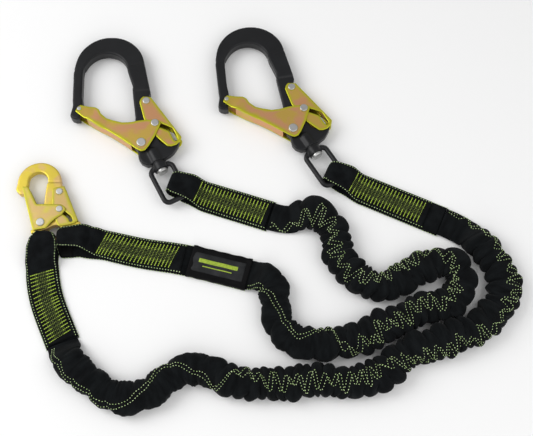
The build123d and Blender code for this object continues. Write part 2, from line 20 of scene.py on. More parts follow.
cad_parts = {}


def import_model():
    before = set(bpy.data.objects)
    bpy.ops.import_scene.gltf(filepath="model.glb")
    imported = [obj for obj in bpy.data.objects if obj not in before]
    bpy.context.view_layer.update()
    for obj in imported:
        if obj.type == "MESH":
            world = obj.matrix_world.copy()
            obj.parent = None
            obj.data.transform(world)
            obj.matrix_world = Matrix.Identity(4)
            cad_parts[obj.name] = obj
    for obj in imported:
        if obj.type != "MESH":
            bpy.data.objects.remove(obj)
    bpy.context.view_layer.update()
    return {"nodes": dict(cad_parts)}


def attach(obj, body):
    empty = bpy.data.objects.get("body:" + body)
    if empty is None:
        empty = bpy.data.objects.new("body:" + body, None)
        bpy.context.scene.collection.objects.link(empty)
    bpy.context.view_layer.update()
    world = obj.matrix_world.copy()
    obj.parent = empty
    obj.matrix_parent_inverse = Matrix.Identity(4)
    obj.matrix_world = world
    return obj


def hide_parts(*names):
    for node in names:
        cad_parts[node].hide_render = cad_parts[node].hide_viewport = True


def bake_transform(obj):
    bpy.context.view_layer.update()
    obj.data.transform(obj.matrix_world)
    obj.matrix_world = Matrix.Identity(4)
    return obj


LOG = logging.getLogger("lanyard")
MM = 0.001
Colour = tuple[float, float, float]
Point2 = tuple[float, float]
Point3 = tuple[float, float, float]
Table = tuple[Point2, ...]
Paint = dict[str, bpy.types.Material]
Pull = Callable[[Vector], Vector]
Socket = bpy.types.NodeSocket


class Body(str, Enum):
    """The moving bodies that pieces ride on."""

    WEBBING = "webbing"
    SNAP_HOOK = "snap_hook"
    SNAP_GATE = "snap_gate"
    SNAP_LOCK = "snap_lock"


# ------------------------------------------------------------------ small helpers


def smooth_step(low: float, high: float, value: float) -> float:
    """A smooth rise from 0 at low to 1 at high."""
    t = min(max((value - low) / (high - low), 0.0), 1.0)
    return t * t * (3 - 2 * t)


def between(table: Sequence[Point2], at: float) -> float:
    """Reads a short table of (place, value) rows smoothly.

    Args:
        table: Rows in rising order of place.
        at: The place to read.

    Returns:
        The value there, held level past both ends.
    """
    for (a, low), (b, high) in zip(table, table[1:]):
        if at <= b:
            return low + (high - low) * smooth_step(a, b, at)
    return table[-1][1]


def curve_through(points: Sequence[Sequence[float]], step: float) -> list[Vector]:
    """Even points along a smooth line through a few given points.

    Args:
        points: Rows of any number of values, of which the first two or three are a place.
        step: Distance between the new rows, measured over all values.

    Returns:
        The rows of the smooth line, as vectors with the same number of values.
    """
    rows = [Vector(p) for p in points]
    rows = [rows[0] * 2 - rows[1]] + rows + [rows[-1] * 2 - rows[-2]]
    made: list[Vector] = []
    for p0, p1, p2, p3 in zip(rows, rows[1:], rows[2:], rows[3:]):
        parts = max(1, round((p2 - p1).length / step))
        for number in range(parts):
            t = number / parts
            made.append(
                0.5 * (2 * p1 + (p2 - p0) * t + (2 * p0 - 5 * p1 + 4 * p2 - p3) * t * t
                       + (3 * p1 - p0 - 3 * p2 + p3) * t ** 3)
            )
    return made + [rows[-2]]


def distances(points: Sequence[Vector]) -> list[float]:
    """The distance along a line of points.

    Args:
        points: The points.

    Returns:
        The distance at each of them.
    """
    total = [0.0]
    for a, b in zip(points, points[1:]):
        total.append(total[-1] + (b - a).length)
    return total


def new_object(name: str, mesh: bpy.types.Mesh) -> bpy.types.Object:
    """Puts a mesh in the scene as a piece at the origin."""
    piece = bpy.data.objects.new(name, mesh)
    bpy.context.scene.collection.objects.link(piece)
    return piece


def mesh_of(name: str, verts: Iterable[Sequence[float]], faces: Iterable[Sequence[int]]) -> bpy.types.Object:
    """Makes a smooth-shaded piece from points and faces.

    Args:
        name: The piece's name.
        verts: Its points.
        faces: Its faces, as rows of point numbers.

    Returns:
        The piece, with its normals facing outwards.
    """
    mesh = bpy.data.meshes.new(name)
    mesh.from_pydata([tuple(v) for v in verts], [], [tuple(f) for f in faces])
    work = bmesh.new()
    work.from_mesh(mesh)
    bmesh.ops.recalc_face_normals(work, faces=work.faces)
    work.to_mesh(mesh)
    work.free()
    mesh.polygons.foreach_set("use_smooth", [True] * len(mesh.polygons))
    return new_object(name, mesh)


def tube_faces(rings: int, count: int) -> list[tuple[int, ...]]:
    """The faces of a closed tube.

    Args:
        rings: How many rings of points it has.
        count: How many points each ring has.

    Returns:
        The walls, ring by ring, and then the two end caps.
    """
    faces: list[tuple[int, ...]] = []
    last = (rings - 1) * count
    for ring in range(0, last, count):
        for step in range(count):
            a, b = ring + step, ring + (step + 1) % count
            faces.append((a, b, b + count, a + count))
    return faces + [tuple(range(count)), tuple(range(last, last + count))]


def map_cloth(piece: bpy.types.Object, spot: Callable[[int], Point2]) -> None:
    """Gives a piece the UV map weave, in metres.

    Args:
        piece: The piece.
        spot: The map's place for a point of the mesh, by the point's number.
    """
    layer = piece.data.uv_layers.new(name="weave")
    for loop in piece.data.loops:
        layer.data[loop.index].uv = spot(loop.vertex_index)


def evaluated_mesh(piece: bpy.types.Object) -> bpy.types.Mesh:
    """The plain mesh of an object with its modifiers worked out."""
    graph = bpy.context.evaluated_depsgraph_get()
    graph.update()
    return bpy.data.meshes.new_from_object(piece.evaluated_get(graph))


def log_piece(piece: bpy.types.Object) -> None:
    """Logs a finished piece."""
    LOG.info("%s: %d faces", piece.name, len(piece.data.polygons))


def on_body(piece: bpy.types.Object, slot: str, body: str) -> None:
    """Lets a piece ride on a body and logs it."""
    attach(piece, body)
    log_piece(piece)


def dress(piece: bpy.types.Object, *materials: bpy.types.Material) -> None:
    """Gives a piece its materials."""
    piece.data.materials.clear()
    for material in materials:
        piece.data.materials.append(material)


# ------------------------------------------------------------------ shader groups


class Group:
    """A shader node group that is built once."""

    def __init__(self, name: str, inputs: dict[str, float], outputs: dict[str, str]) -> None:
        """Makes the group's sockets.

        Args:
            name: The group's name.
            inputs: Float inputs and what they start at.
            outputs: Output names, each with its socket type.
        """
        self.tree = bpy.data.node_groups.new(name, "ShaderNodeTree")
        self.tree.interface.new_socket("Vector", in_out="INPUT", socket_type="NodeSocketVector")
        for key, value in inputs.items():
            socket = self.tree.interface.new_socket(key, in_out="INPUT", socket_type="NodeSocketFloat")
            socket.default_value = value
        for key, kind in outputs.items():
            self.tree.interface.new_socket(key, in_out="OUTPUT", socket_type=kind)
        self.source = self.tree.nodes.new("NodeGroupInput")
        self.sink = self.tree.nodes.new("NodeGroupOutput")


class Wiring:
    """Short ways to add and join nodes in a tree."""

    def __init__(self, tree: bpy.types.NodeTree) -> None:
        """Keeps the tree."""
        self.tree = tree

    def join(self, node: bpy.types.Node, values: dict) -> None:
        """Gives a node's inputs their sockets or constants.

        Args:
            node: The node.
            values: The sockets or constants, by the input's name or number.
        """
        for key, value in values.items():
            if isinstance(value, Socket):
                self.tree.links.new(value, node.inputs[key])
            else:
                node.inputs[key].default_value = value

    def add(self, kind: str, inputs: dict | None = None, **settings: object) -> bpy.types.Node:
        """Adds a node.

        Args:
            kind: The node's type.
            inputs: Values or sockets for its inputs, by name or number.
            settings: The node's own properties.

        Returns:
            The node.
        """
        node = self.tree.nodes.new(kind)
        for key, value in settings.items():
            setattr(node, key, value)
        self.join(node, inputs or {})
        return node

    def group(self, tree: bpy.types.NodeTree, vector: Socket, **values: float) -> bpy.types.Node:
        """Places a shader group, with its vector and its own values."""
        return self.add("ShaderNodeGroup", {"Vector": vector, **values}, node_tree=tree)

    def math(self, operation: str, a: object, b: object = 0.0, clamp: bool = False) -> Socket:
        """A Math node's result."""
        return self.add("ShaderNodeMath", {0: a, 1: b}, operation=operation, use_clamp=clamp).outputs[0]

    def scaled(self, value: Socket, factor: float, offset: float) -> Socket:
        """A value times a factor, plus an offset."""
        return self.math("ADD", self.math("MULTIPLY", value, factor), offset)

    def noise(self, vector: Socket, scale: float, detail: float = 3.0, rough: float = 0.55) -> Socket:
        """A noise texture's value."""
        inputs = {"Vector": vector, "Scale": scale, "Detail": detail, "Roughness": rough}
        return self.add("ShaderNodeTexNoise", inputs).outputs[0]

    def ramp(self, value: object, *stops: tuple[float, Colour]) -> Socket:
        """A colour ramp's colour for a value.

        Args:
            value: The socket that is looked up.
            stops: Rows of place and colour, in rising order.

        Returns:
            The colour socket.
        """
        node = self.add("ShaderNodeValToRGB", {0: value})
        band = node.color_ramp
        while len(band.elements) < len(stops):
            band.elements.new(0.5)
        for element, (place, colour) in zip(band.elements, stops):
            element.position = place
            element.color = (*colour, 1.0)
        return node.outputs[0]

    def mix(self, share: object, a: object, b: object) -> Socket:
        """Two colours mixed, each a socket or a constant.

        Args:
            share: How much of the second colour is taken.
            a: The first colour.
            b: The second colour.

        Returns:
            The mixed colour's socket.
        """
        node = self.add("ShaderNodeMix", data_type="RGBA", blend_type="MIX")
        colours = (value if isinstance(value, Socket) else (*value, 1.0) for value in (a, b))
        self.join(node, dict(zip((0, 6, 7), (share, *colours))))
        return node.outputs[2]


def weave_group() -> bpy.types.NodeTree:
    """Fine ribbed webbing: the height and the shade of its yarns, from a vector in metres.

    Returns:
        The group.
    """
    group = Group(
        "webbing_weave", {"Yarn": 1100.0, "Fuzz": 1.0},
        {"Height": "NodeSocketFloat", "Shade": "NodeSocketFloat"},
    )
    w = Wiring(group.tree)
    split = w.add("ShaderNodeSeparateXYZ", {0: group.source.outputs["Vector"]})
    yarn = group.source.outputs["Yarn"]
    across = w.math("SINE", w.math("MULTIPLY", split.outputs[0], w.math("MULTIPLY", yarn, 2 * math.pi)))
    along = w.math("SINE", w.math("MULTIPLY", split.outputs[1], w.math("MULTIPLY", yarn, 1.3 * math.pi)))
    knit = w.math("MULTIPLY", across, along)
    fuzz = w.noise(group.source.outputs["Vector"], 900.0, 2.0)
    fuzz = w.math("MULTIPLY", fuzz, group.source.outputs["Fuzz"])
    height = w.math("ADD", w.math("MULTIPLY", knit, 0.5), fuzz)
    patch = w.noise(group.source.outputs["Vector"], 60.0, 4.0)
    shade = w.math("ADD", w.math("MULTIPLY", knit, 0.12), patch)
    group.tree.links.new(height, group.sink.inputs["Height"])
    group.tree.links.new(shade, group.sink.inputs["Shade"])
    return group.tree


def wear_group() -> bpy.types.NodeTree:
    """Handling marks on metal: fine scratches, smears and a soft unevenness of the surface.

    Returns:
        The group.
    """
    group = Group(
        "handling_wear", {"Scratch": 1.0, "Cloud": 14.0},
        {"Mask": "NodeSocketFloat", "Height": "NodeSocketFloat", "Cloud": "NodeSocketFloat"},
    )
    w = Wiring(group.tree)
    vector = group.source.outputs["Vector"]
    stretched = w.add("ShaderNodeVectorMath", {0: vector, 1: (60.0, 900.0, 300.0)}, operation="MULTIPLY")
    lines = w.noise(stretched.outputs[0], 1.0, 4.0, 0.7)
    lines = w.math("SMOOTH_MIN", w.math("MULTIPLY", w.math("SUBTRACT", lines, 0.6), 6.0, True), 1.0)
    lines = w.math("MULTIPLY", lines, group.source.outputs["Scratch"], True)
    smear = w.noise(vector, 70.0, 5.0)
    cloud_size = group.source.outputs["Cloud"]
    cloud = w.add("ShaderNodeTexNoise", {"Vector": vector, "Scale": cloud_size, "Detail": 3.0})
    grain = w.noise(vector, 1400.0, 2.0)
    height = w.math("ADD", w.math("MULTIPLY", smear, 0.6), w.math("MULTIPLY", grain, 0.4))
    group.tree.links.new(lines, group.sink.inputs["Mask"])
    group.tree.links.new(height, group.sink.inputs["Height"])
    group.tree.links.new(cloud.outputs[0], group.sink.inputs["Cloud"])
    return group.tree


# ------------------------------------------------------------------ finishes


class MaterialWiring(Wiring):
    """A new material, with short ways to feed its shader."""

    def __init__(self, name: str) -> None:
        """Makes the material.

        Args:
            name: The material's name.
        """
        self.material = bpy.data.materials.new(name)
        self.material.use_nodes = True
        super().__init__(self.material.node_tree)
        self.shader = self.tree.nodes["Principled BSDF"]

    def where(self) -> Socket:
        """The Object coordinates."""
        return self.add("ShaderNodeTexCoord").outputs["Object"]

    def feed(self, **values: object) -> None:
        """Gives the shader's inputs their sockets or constants, with _ for a space in a name."""
        self.join(self.shader, {key.replace("_", " "): value for key, value in values.items()})

    def bump(self, height: Socket, distance: float, strength: float) -> None:
        """Feeds a height to the shader's normal."""
        inputs = {"Height": height, "Distance": distance, "Strength": strength}
        self.feed(Normal=self.add("ShaderNodeBump", inputs).outputs[0])


class Finish:
    """A material, described by its fields."""

    name: str

    def wire(self, w: MaterialWiring) -> None:
        """Joins the material's nodes."""
        raise NotImplementedError

    def build(self) -> bpy.types.Material:
        """Builds the material."""
        wiring = MaterialWiring(self.name)
        self.wire(wiring)
        return wiring.material


@dataclass(frozen=True)
class ForgedBlack(Finish):
    """Satin black electrocoat over forged steel."""

    groups: dict[str, bpy.types.NodeTree]
    name: str = "forged_black_coat"
    dark: Colour = (0.0030, 0.0033, 0.0042)
    light: Colour = (0.0065, 0.007, 0.0085)
    scuffed: Colour = (0.05, 0.052, 0.058)
    rough: float = 0.40
    relief: float = 0.2 * MM

    def wire(self, w: MaterialWiring) -> None:
        """Joins the coat's nodes.

        Args:
            w: The new material.
        """
        wear = w.group(self.groups["wear"], w.where(), Scratch=0.5, Cloud=25.0)
        colour = w.ramp(wear.outputs["Cloud"], (0.3, self.dark), (0.7, self.light))
        w.feed(
            Base_Color=w.mix(w.math("MULTIPLY", wear.outputs["Mask"], 0.25), colour, self.scuffed),
            Roughness=w.scaled(wear.outputs["Cloud"], 0.16, self.rough - 0.08),
            Specular_IOR_Level=0.3, Coat_Weight=0.05, Coat_Roughness=0.25,
        )
        w.bump(wear.outputs["Height"], self.relief, 0.35)


@dataclass(frozen=True)
class YellowZinc(Finish):
    """Yellow chromate over zinc: gold with pink clouds, and a yellow-green band near each plate's edges that
    is the plating's tint with a painted highlight on the bent edges.
    """

    groups: dict[str, bpy.types.NodeTree]
    name: str = "yellow_zinc"
    gold: Colour = (0.66, 0.44, 0.10)
    pink: Colour = (0.70, 0.36, 0.18)
    edge_tint_and_highlight: Colour = (0.56, 0.54, 0.03)
    scuffed: Colour = (0.85, 0.75, 0.5)
    rough: float = 0.34
    # rim turns on the painted edge band: the plating's tint with a painted highlight on the bent edges.
    rim: bool = True
    relief: float = 0.2 * MM

    def wire(self, w: MaterialWiring) -> None:
        """Joins the plating's nodes.

        Args:
            w: The new material.
        """
        wear = w.group(self.groups["wear"], w.where(), Scratch=0.6, Cloud=22.0)
        cloud = wear.outputs["Cloud"]
        middle = w.ramp(cloud, (0.40, self.gold), (0.48, self.pink), (0.55, self.pink), (0.63, self.gold))
        if self.rim:
            # The rim attribute paints the yellow-green edge band: the plating's tint with a painted
            # highlight on the bent edges.
            rim = w.add("ShaderNodeAttribute", attribute_name="rim").outputs["Fac"]
            uneven = w.math("ADD", rim, w.math("MULTIPLY", w.math("SUBTRACT", cloud, 0.5), 0.5))
            stops = ((place, (grey, grey, grey)) for place, grey in ((0.0, 0.0), (0.3, 0.15), (0.8, 1.0)))
            middle = w.mix(w.ramp(uneven, *stops), middle, self.edge_tint_and_highlight)
        w.feed(
            Base_Color=w.mix(w.math("MULTIPLY", wear.outputs["Mask"], 0.3), middle, self.scuffed),
            Metallic=0.85, Roughness=w.scaled(cloud, 0.2, self.rough - 0.1),
        )
        w.bump(wear.outputs["Height"], self.relief, 0.3)


@dataclass(frozen=True)
class BareMetal(Finish):
    """Bright plated or oiled steel, for rivets and spring wire."""

    groups: dict[str, bpy.types.NodeTree]
    name: str = "bright_rivet"
    colour: Colour = (0.55, 0.55, 0.54)
    rough: float = 0.34
    dulled: float = 0.72
    relief: float = 0.2 * MM

    def wire(self, w: MaterialWiring) -> None:
        """Joins the metal's nodes.

        Args:
            w: The new material.
        """
        wear = w.group(self.groups["wear"], w.where())
        dull = tuple(self.dulled * c for c in self.colour)
        w.feed(
            Base_Color=w.ramp(wear.outputs["Cloud"], (0.3, dull), (0.6, self.colour)),
            Metallic=0.9, Roughness=w.scaled(wear.outputs["Height"], 0.3, self.rough - 0.12),
        )
        w.bump(wear.outputs["Height"], self.relief, 0.4)


@dataclass(frozen=True)
class Cloth(Finish):
    """Woven polyester, with its pattern on the piece's own UV map in metres."""

    groups: dict[str, bpy.types.NodeTree]
    name: str = "black_webbing"
    dark: Colour = (0.0022, 0.0027, 0.0032)
    light: Colour = (0.0075, 0.009, 0.010)
    rough: float = 0.8
    yarn: float = 700.0
    sheen: float = 0.03
    relief: float = 0.35 * MM

    def wire(self, w: MaterialWiring) -> None:
        """Joins the cloth's nodes.

        Args:
            w: The new material.
        """
        uv = w.add("ShaderNodeUVMap", uv_map="weave").outputs[0]
        weave = w.group(self.groups["weave"], uv, Yarn=self.yarn)
        w.feed(
            Base_Color=w.ramp(weave.outputs["Shade"], (0.35, self.dark), (0.7, self.light)),
            Roughness=w.scaled(weave.outputs["Shade"], 0.2, self.rough - 0.1),
            Sheen_Weight=self.sheen, Sheen_Roughness=0.5, Specular_IOR_Level=0.06,
        )
        w.bump(weave.outputs["Height"], self.relief, 0.6)


@dataclass(frozen=True)
class Thread(Finish):
    """Twisted thread, each stitch a little different in shade."""

    name: str
    dark: Colour
    light: Colour
    relief: float = 0.2 * MM

    def wire(self, w: MaterialWiring) -> None:
        """Joins the thread's nodes.

        Args:
            w: The new material.
        """
        where = w.where()
        twist = w.noise(where, 2500.0, 2.0)
        w.feed(
            Base_Color=w.ramp(w.noise(where, 420.0, 1.0), (0.35, self.dark), (0.65, self.light)),
            Roughness=w.scaled(twist, 0.2, 0.45),
        )
        w.bump(twist, self.relief, 0.4)


# ------------------------------------------------------------------ stitches by geometry nodes


@dataclass(frozen=True)
class Stitch:
    """One kind of stitch, in millimetres.

    The pitch is from one to the next, the length and the radius are halves, and uneven is how far
    a stitch may lie off its line.
    """

    pitch: float
    length: float
    radius: float
    uneven: float = 0.0


EDGE_STITCH = Stitch(4.0, 0.85, 0.62)
MARKER_STITCH = Stitch(4.1, 0.85, 0.56, 0.15)
TACK_STITCHES = {
    "rows": ("row", Stitch(2.5, 1.0, 0.5, 0.15)),
    "ends": ("lime", Stitch(2.4, 1.35, 0.72)),
    "fill": ("olive", Stitch(2.2, 0.8, 0.42, 0.3)),
}


class StitchTree:
    """Geometry nodes that lay short stitches along a curve."""

    LENGTH_SWAY = (0.75, 1.2)
    LENGTH_SEED = 5
    SHIFT_SEED = 9
    BEAD_SEGMENTS = 6
    BEAD_RINGS = 4

    def __init__(self) -> None:
        """Builds the tree with its named inputs."""
        self.tree = bpy.data.node_groups.new("stitches_along", "GeometryNodeTree")
        face = self.tree.interface
        face.new_socket("Geometry", in_out="INPUT", socket_type="NodeSocketGeometry")
        for key in ("Pitch", "Length", "Radius", "Uneven"):
            face.new_socket(key, in_out="INPUT", socket_type="NodeSocketFloat")
        face.new_socket("Material", in_out="INPUT", socket_type="NodeSocketMaterial")
        face.new_socket("Geometry", in_out="OUTPUT", socket_type="NodeSocketGeometry")
        w = Wiring(self.tree)
        source = self.tree.nodes.new("NodeGroupInput").outputs
        line = w.add("GeometryNodeResampleCurve", {"Curve": source["Geometry"], "Length": source["Pitch"]},
                     mode="LENGTH")
        bead = w.add("GeometryNodeMeshUVSphere",
                     {"Segments": self.BEAD_SEGMENTS, "Rings": self.BEAD_RINGS, "Radius": 1.0})
        tangent = w.add("GeometryNodeInputTangent")
        turn = w.add("FunctionNodeAlignRotationToVector", {"Vector": tangent.outputs[0]}, axis="Z")
        low, high = self.LENGTH_SWAY
        swings = {2: low, 3: high, "Seed": self.LENGTH_SEED}
        sway = w.add("FunctionNodeRandomValue", swings, data_type="FLOAT")
        longer = w.math("MULTIPLY", source["Length"], sway.outputs[1])
        size = w.add("ShaderNodeCombineXYZ", {0: source["Radius"], 1: source["Radius"], 2: longer})
        flat = {0: (-1.0, -1.0, 0.0), 1: (1.0, 1.0, 0.0), "Seed": self.SHIFT_SEED}
        shift = w.add("FunctionNodeRandomValue", flat, data_type="FLOAT_VECTOR")
        moved = w.add("ShaderNodeVectorMath", {0: shift.outputs[0], "Scale": source["Uneven"]},
                      operation="SCALE")
        points = w.add("GeometryNodeInstanceOnPoints", {
            "Points": line.outputs[0], "Instance": bead.outputs[0],
            "Rotation": turn.outputs[0], "Scale": size.outputs[0],
        })
        placed = w.add("GeometryNodeTranslateInstances", {
            "Instances": points.outputs[0], "Translation": moved.outputs[0], "Local Space": False,
        })
        real = w.add("GeometryNodeRealizeInstances", {0: placed.outputs[0]})
        soft = w.add("GeometryNodeSetShadeSmooth", {0: real.outputs[0], "Shade Smooth": True})
        painted = w.add("GeometryNodeSetMaterial",
                        {"Geometry": soft.outputs[0], "Material": source["Material"]})
        sink = self.tree.nodes.new("NodeGroupOutput")
        self.tree.links.new(painted.outputs[0], sink.inputs[0])

    def lay(
        self, name: str, lines: Sequence[Sequence[Vector]], material: bpy.types.Material, stitch: Stitch,
    ) -> bpy.types.Object:
        """Lays stitches along some lines and makes them plain mesh.

        Args:
            name: The new piece's name.
            lines: The lines, each a row of points.
            material: The thread's material.
            stitch: The kind of stitch.

        Returns:
            The piece.
        """
        curve = bpy.data.curves.new(name, "CURVE")
        curve.dimensions = "3D"
        for line in lines:
            spline = curve.splines.new("POLY")
            spline.points.add(len(line) - 1)
            for point, place in zip(spline.points, line):
                point.co = (*place, 1.0)
        guide = bpy.data.objects.new(name + "_line", curve)
        bpy.context.scene.collection.objects.link(guide)
        modifier = guide.modifiers.new("stitches", "NODES")
        modifier.node_group = self.tree
        values = {
            "Pitch": stitch.pitch * MM, "Length": stitch.length * MM, "Radius": stitch.radius * MM,
            "Uneven": stitch.uneven * MM, "Material": material,
        }
        for item in self.tree.interface.items_tree:
            if item.item_type == "SOCKET" and item.in_out == "INPUT" and item.name in values:
                modifier[item.identifier] = values[item.name]
        mesh = evaluated_mesh(guide)
        bpy.data.objects.remove(guide)
        return new_object(name, mesh)


# ------------------------------------------------------------------ metal

WELD = 0.001 * MM
EDGE_TILT = 0.6
WEB_EDGE_HIGHLIGHT = 0.05


@dataclass(frozen=True)
class Place:
    """Where a hook lies: its gate pivot, its middle plane's height and its turn in degrees."""

    x: float
    y: float
    z: float
    turn: float

    def matrix(self) -> Matrix:
        """From the hook's own drawing in millimetres to the scene in metres."""
        move = Matrix.Translation((self.x * MM, self.y * MM, self.z * MM))
        return move @ Matrix.Rotation(math.radians(self.turn), 4, "Z") @ Matrix.Scale(MM, 4)


def reworked(
    node: bpy.types.Object, name: str, voxel: float, rounds: int,
    sculpt: Callable[[Vector, Vector], Vector],
) -> bpy.types.Object:
    """A copy of a part with evenly sized faces and its edges worn round.

    Args:
        node: The part whose shape is taken.
        name: The new piece's name.
        voxel: Size of the new faces.
        rounds: How many times the surface is smoothed.
        sculpt: Moves a point, given its place and its normal.

    Returns:
        The new piece, at the origin.
    """
    mesh = node.data.copy()
    work = bmesh.new()
    work.from_mesh(mesh)
    bmesh.ops.remove_doubles(work, verts=work.verts, dist=WELD)
    work.to_mesh(mesh)
    work.free()
    mesh.materials.clear()
    piece = new_object(name, mesh)
    remesh = piece.modifiers.new("remesh", "REMESH")
    remesh.mode = "VOXEL"
    remesh.voxel_size = voxel
    remesh.use_smooth_shade = True
    smooth = piece.modifiers.new("smooth", "SMOOTH")
    smooth.factor = 0.5
    smooth.iterations = rounds
    shaped = evaluated_mesh(piece)
    piece.modifiers.clear()
    piece.data = shaped
    moved = [sculpt(v.co.copy(), v.normal.copy()) for v in piece.data.vertices]
    for vertex, place in zip(piece.data.vertices, moved):
        vertex.co = place
    piece.data.polygons.foreach_set("use_smooth", [True] * len(piece.data.polygons))
    return piece


def mark_edge_highlight(piece: bpy.types.Object, reach: float, middle: float, inner: float) -> None:
    """Stores how near each point is to a sharp outline, as the attribute rim, which paints a yellow-green
    edge band: the plating's tint with a painted highlight on the bent edges.

    Args:
        piece: A flat plate piece.
        reach: How far in from an edge the mark fades out.
        middle: Height of the hook's middle plane.
        inner: How far the cheeks are from that plane; what lies nearer is the folded web, with no painted
            edge band.
    """
    mesh = piece.data
    edge_points = [v.co for v in mesh.vertices if abs(v.normal.z) < EDGE_TILT]
    tree = KDTree(len(edge_points))
    for number, place in enumerate(edge_points):
        tree.insert(place, number)
    tree.balance()
    # rim holds the painted edge band: the plating's tint and a painted highlight along the bent edges.
    rim = mesh.attributes.new("rim", "FLOAT", "POINT")
    values = [
        WEB_EDGE_HIGHLIGHT if abs(v.co.z - middle) < inner else 1.0 - smooth_step(0.0, reach, tree.find(v.co)[2])
        for v in mesh.vertices
    ]
    rim.data.foreach_set("value", values)


@dataclass
class HookMaker:
    """Dresses a hook's parts with forged or stamped surfaces, with its sizes in millimetres."""

    prefix: str
    place: Place
    nodes: dict[str, bpy.types.Object]
    finishes: Paint
    groove_lines: tuple[tuple[Point2, Point2], ...] = ()
    body_finish: str = "black"
    body_slot: str = "black_steel"
    plate_finish: str = "zinc"
    groove_depth: float = 0.7
    groove_half: float = 1.1
    groove_past: float = 4.0
    plate_voxel: float = 0.62
    plate_rounds: int = 3
    edge_highlight_reach: float = 6.5
    web_gap: float = 0.4

    def groove(self, local: Vector) -> float:
        """How deep the forging marks are.

        Args:
            local: A point of the hook's own drawing.

        Returns:
            The depth there, from 0 to 1.
        """
        depth = 0.0
        for (ax, ay), (bx, by) in self.groove_lines:
            length = math.hypot(bx - ax, by - ay)
            ux, uy = (bx - ax) / length, (by - ay) / length
            along = (local.x - ax) * ux + (local.y - ay) * uy
            off = (local.y - ay) * ux - (local.x - ax) * uy
            if -self.groove_past < along < length + self.groove_past:
                depth = max(depth, math.exp(-((off / self.groove_half) ** 2)))
        return depth

    def forged(
        self, part: str, body: str, voxel: float, rounds: int,
        pull: Pull | None = None, finish: str = "", slot: str = "",
    ) -> None:
        """A forged part: rounded everywhere, with marks across it where the die ended.

        Args:
            part: The part's name without the hook's.
            body: The body it rides on.
            voxel: Size of its faces, in millimetres.
            rounds: How often it is smoothed.
            pull: How far a point stands off its plain drawing, in millimetres.
            finish: Its finish, where it isn't the body's.
            slot: Its material slot, where it isn't the body's.
        """
        from_local = self.place.matrix()
        to_local = from_local.inverted()

        def sculpt(place: Vector, normal: Vector) -> Vector:
            """Presses the marks into the surface."""
            local = to_local @ place
            moved = local + pull(local) if pull else local
            return from_local @ moved - normal * self.groove_depth * MM * self.groove(local)

        node = f"{self.prefix}_{part}"
        piece = reworked(self.nodes[node], f"{node}_forged", voxel * MM, rounds, sculpt)
        self.settle(piece, node, finish or self.body_finish, slot or self.body_slot, body)

    def stamped(self, part: str, body: str, inner: float, pull: Pull | None = None) -> None:
        """A stamped plate part, with a soft edge and a yellow-green edge band: the plating's tint with a
        painted highlight on the bent edges.

        Args:
            part: The part's name without the hook's.
            body: The body it rides on.
            inner: How far the cheeks are from the middle plane, in millimetres.
            pull: How far a point stands off its plain drawing, in millimetres.
        """
        from_local = self.place.matrix()
        to_local = from_local.inverted()

        def sculpt(place: Vector, normal: Vector) -> Vector:
            """Gives the plate the steps that its plain drawing leaves out."""
            local = to_local @ place
            return from_local @ (local + pull(local)) if pull else place

        node = f"{self.prefix}_{part}"
        piece = reworked(self.nodes[node], f"{node}_plate", self.plate_voxel * MM, self.plate_rounds, sculpt)
        mark_edge_highlight(piece, self.edge_highlight_reach * MM, self.place.z * MM, (inner - self.web_gap) * MM)
        self.settle(piece, node, self.plate_finish, "yellow_zinc", body)

    def settle(self, piece: bpy.types.Object, node: str, finish: str, slot: str, body: str) -> None:
        """Dresses a finished piece and puts it in its part's place."""
        dress(piece, self.finishes[finish])
        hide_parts(node)
        on_body(piece, slot, body)

    def kept(self, finish: str, slot: str, *parts: str) -> None:
        """Parts whose own shape is right, which only get a finish.

        Args:
            finish: The name of their finish.
            slot: Their material slot; not used.
            parts: Their names without the hook's.
        """
        for part in parts:
            node = self.nodes[f"{self.prefix}_{part}"]
            dress(node, self.finishes[finish])
            log_piece(node)


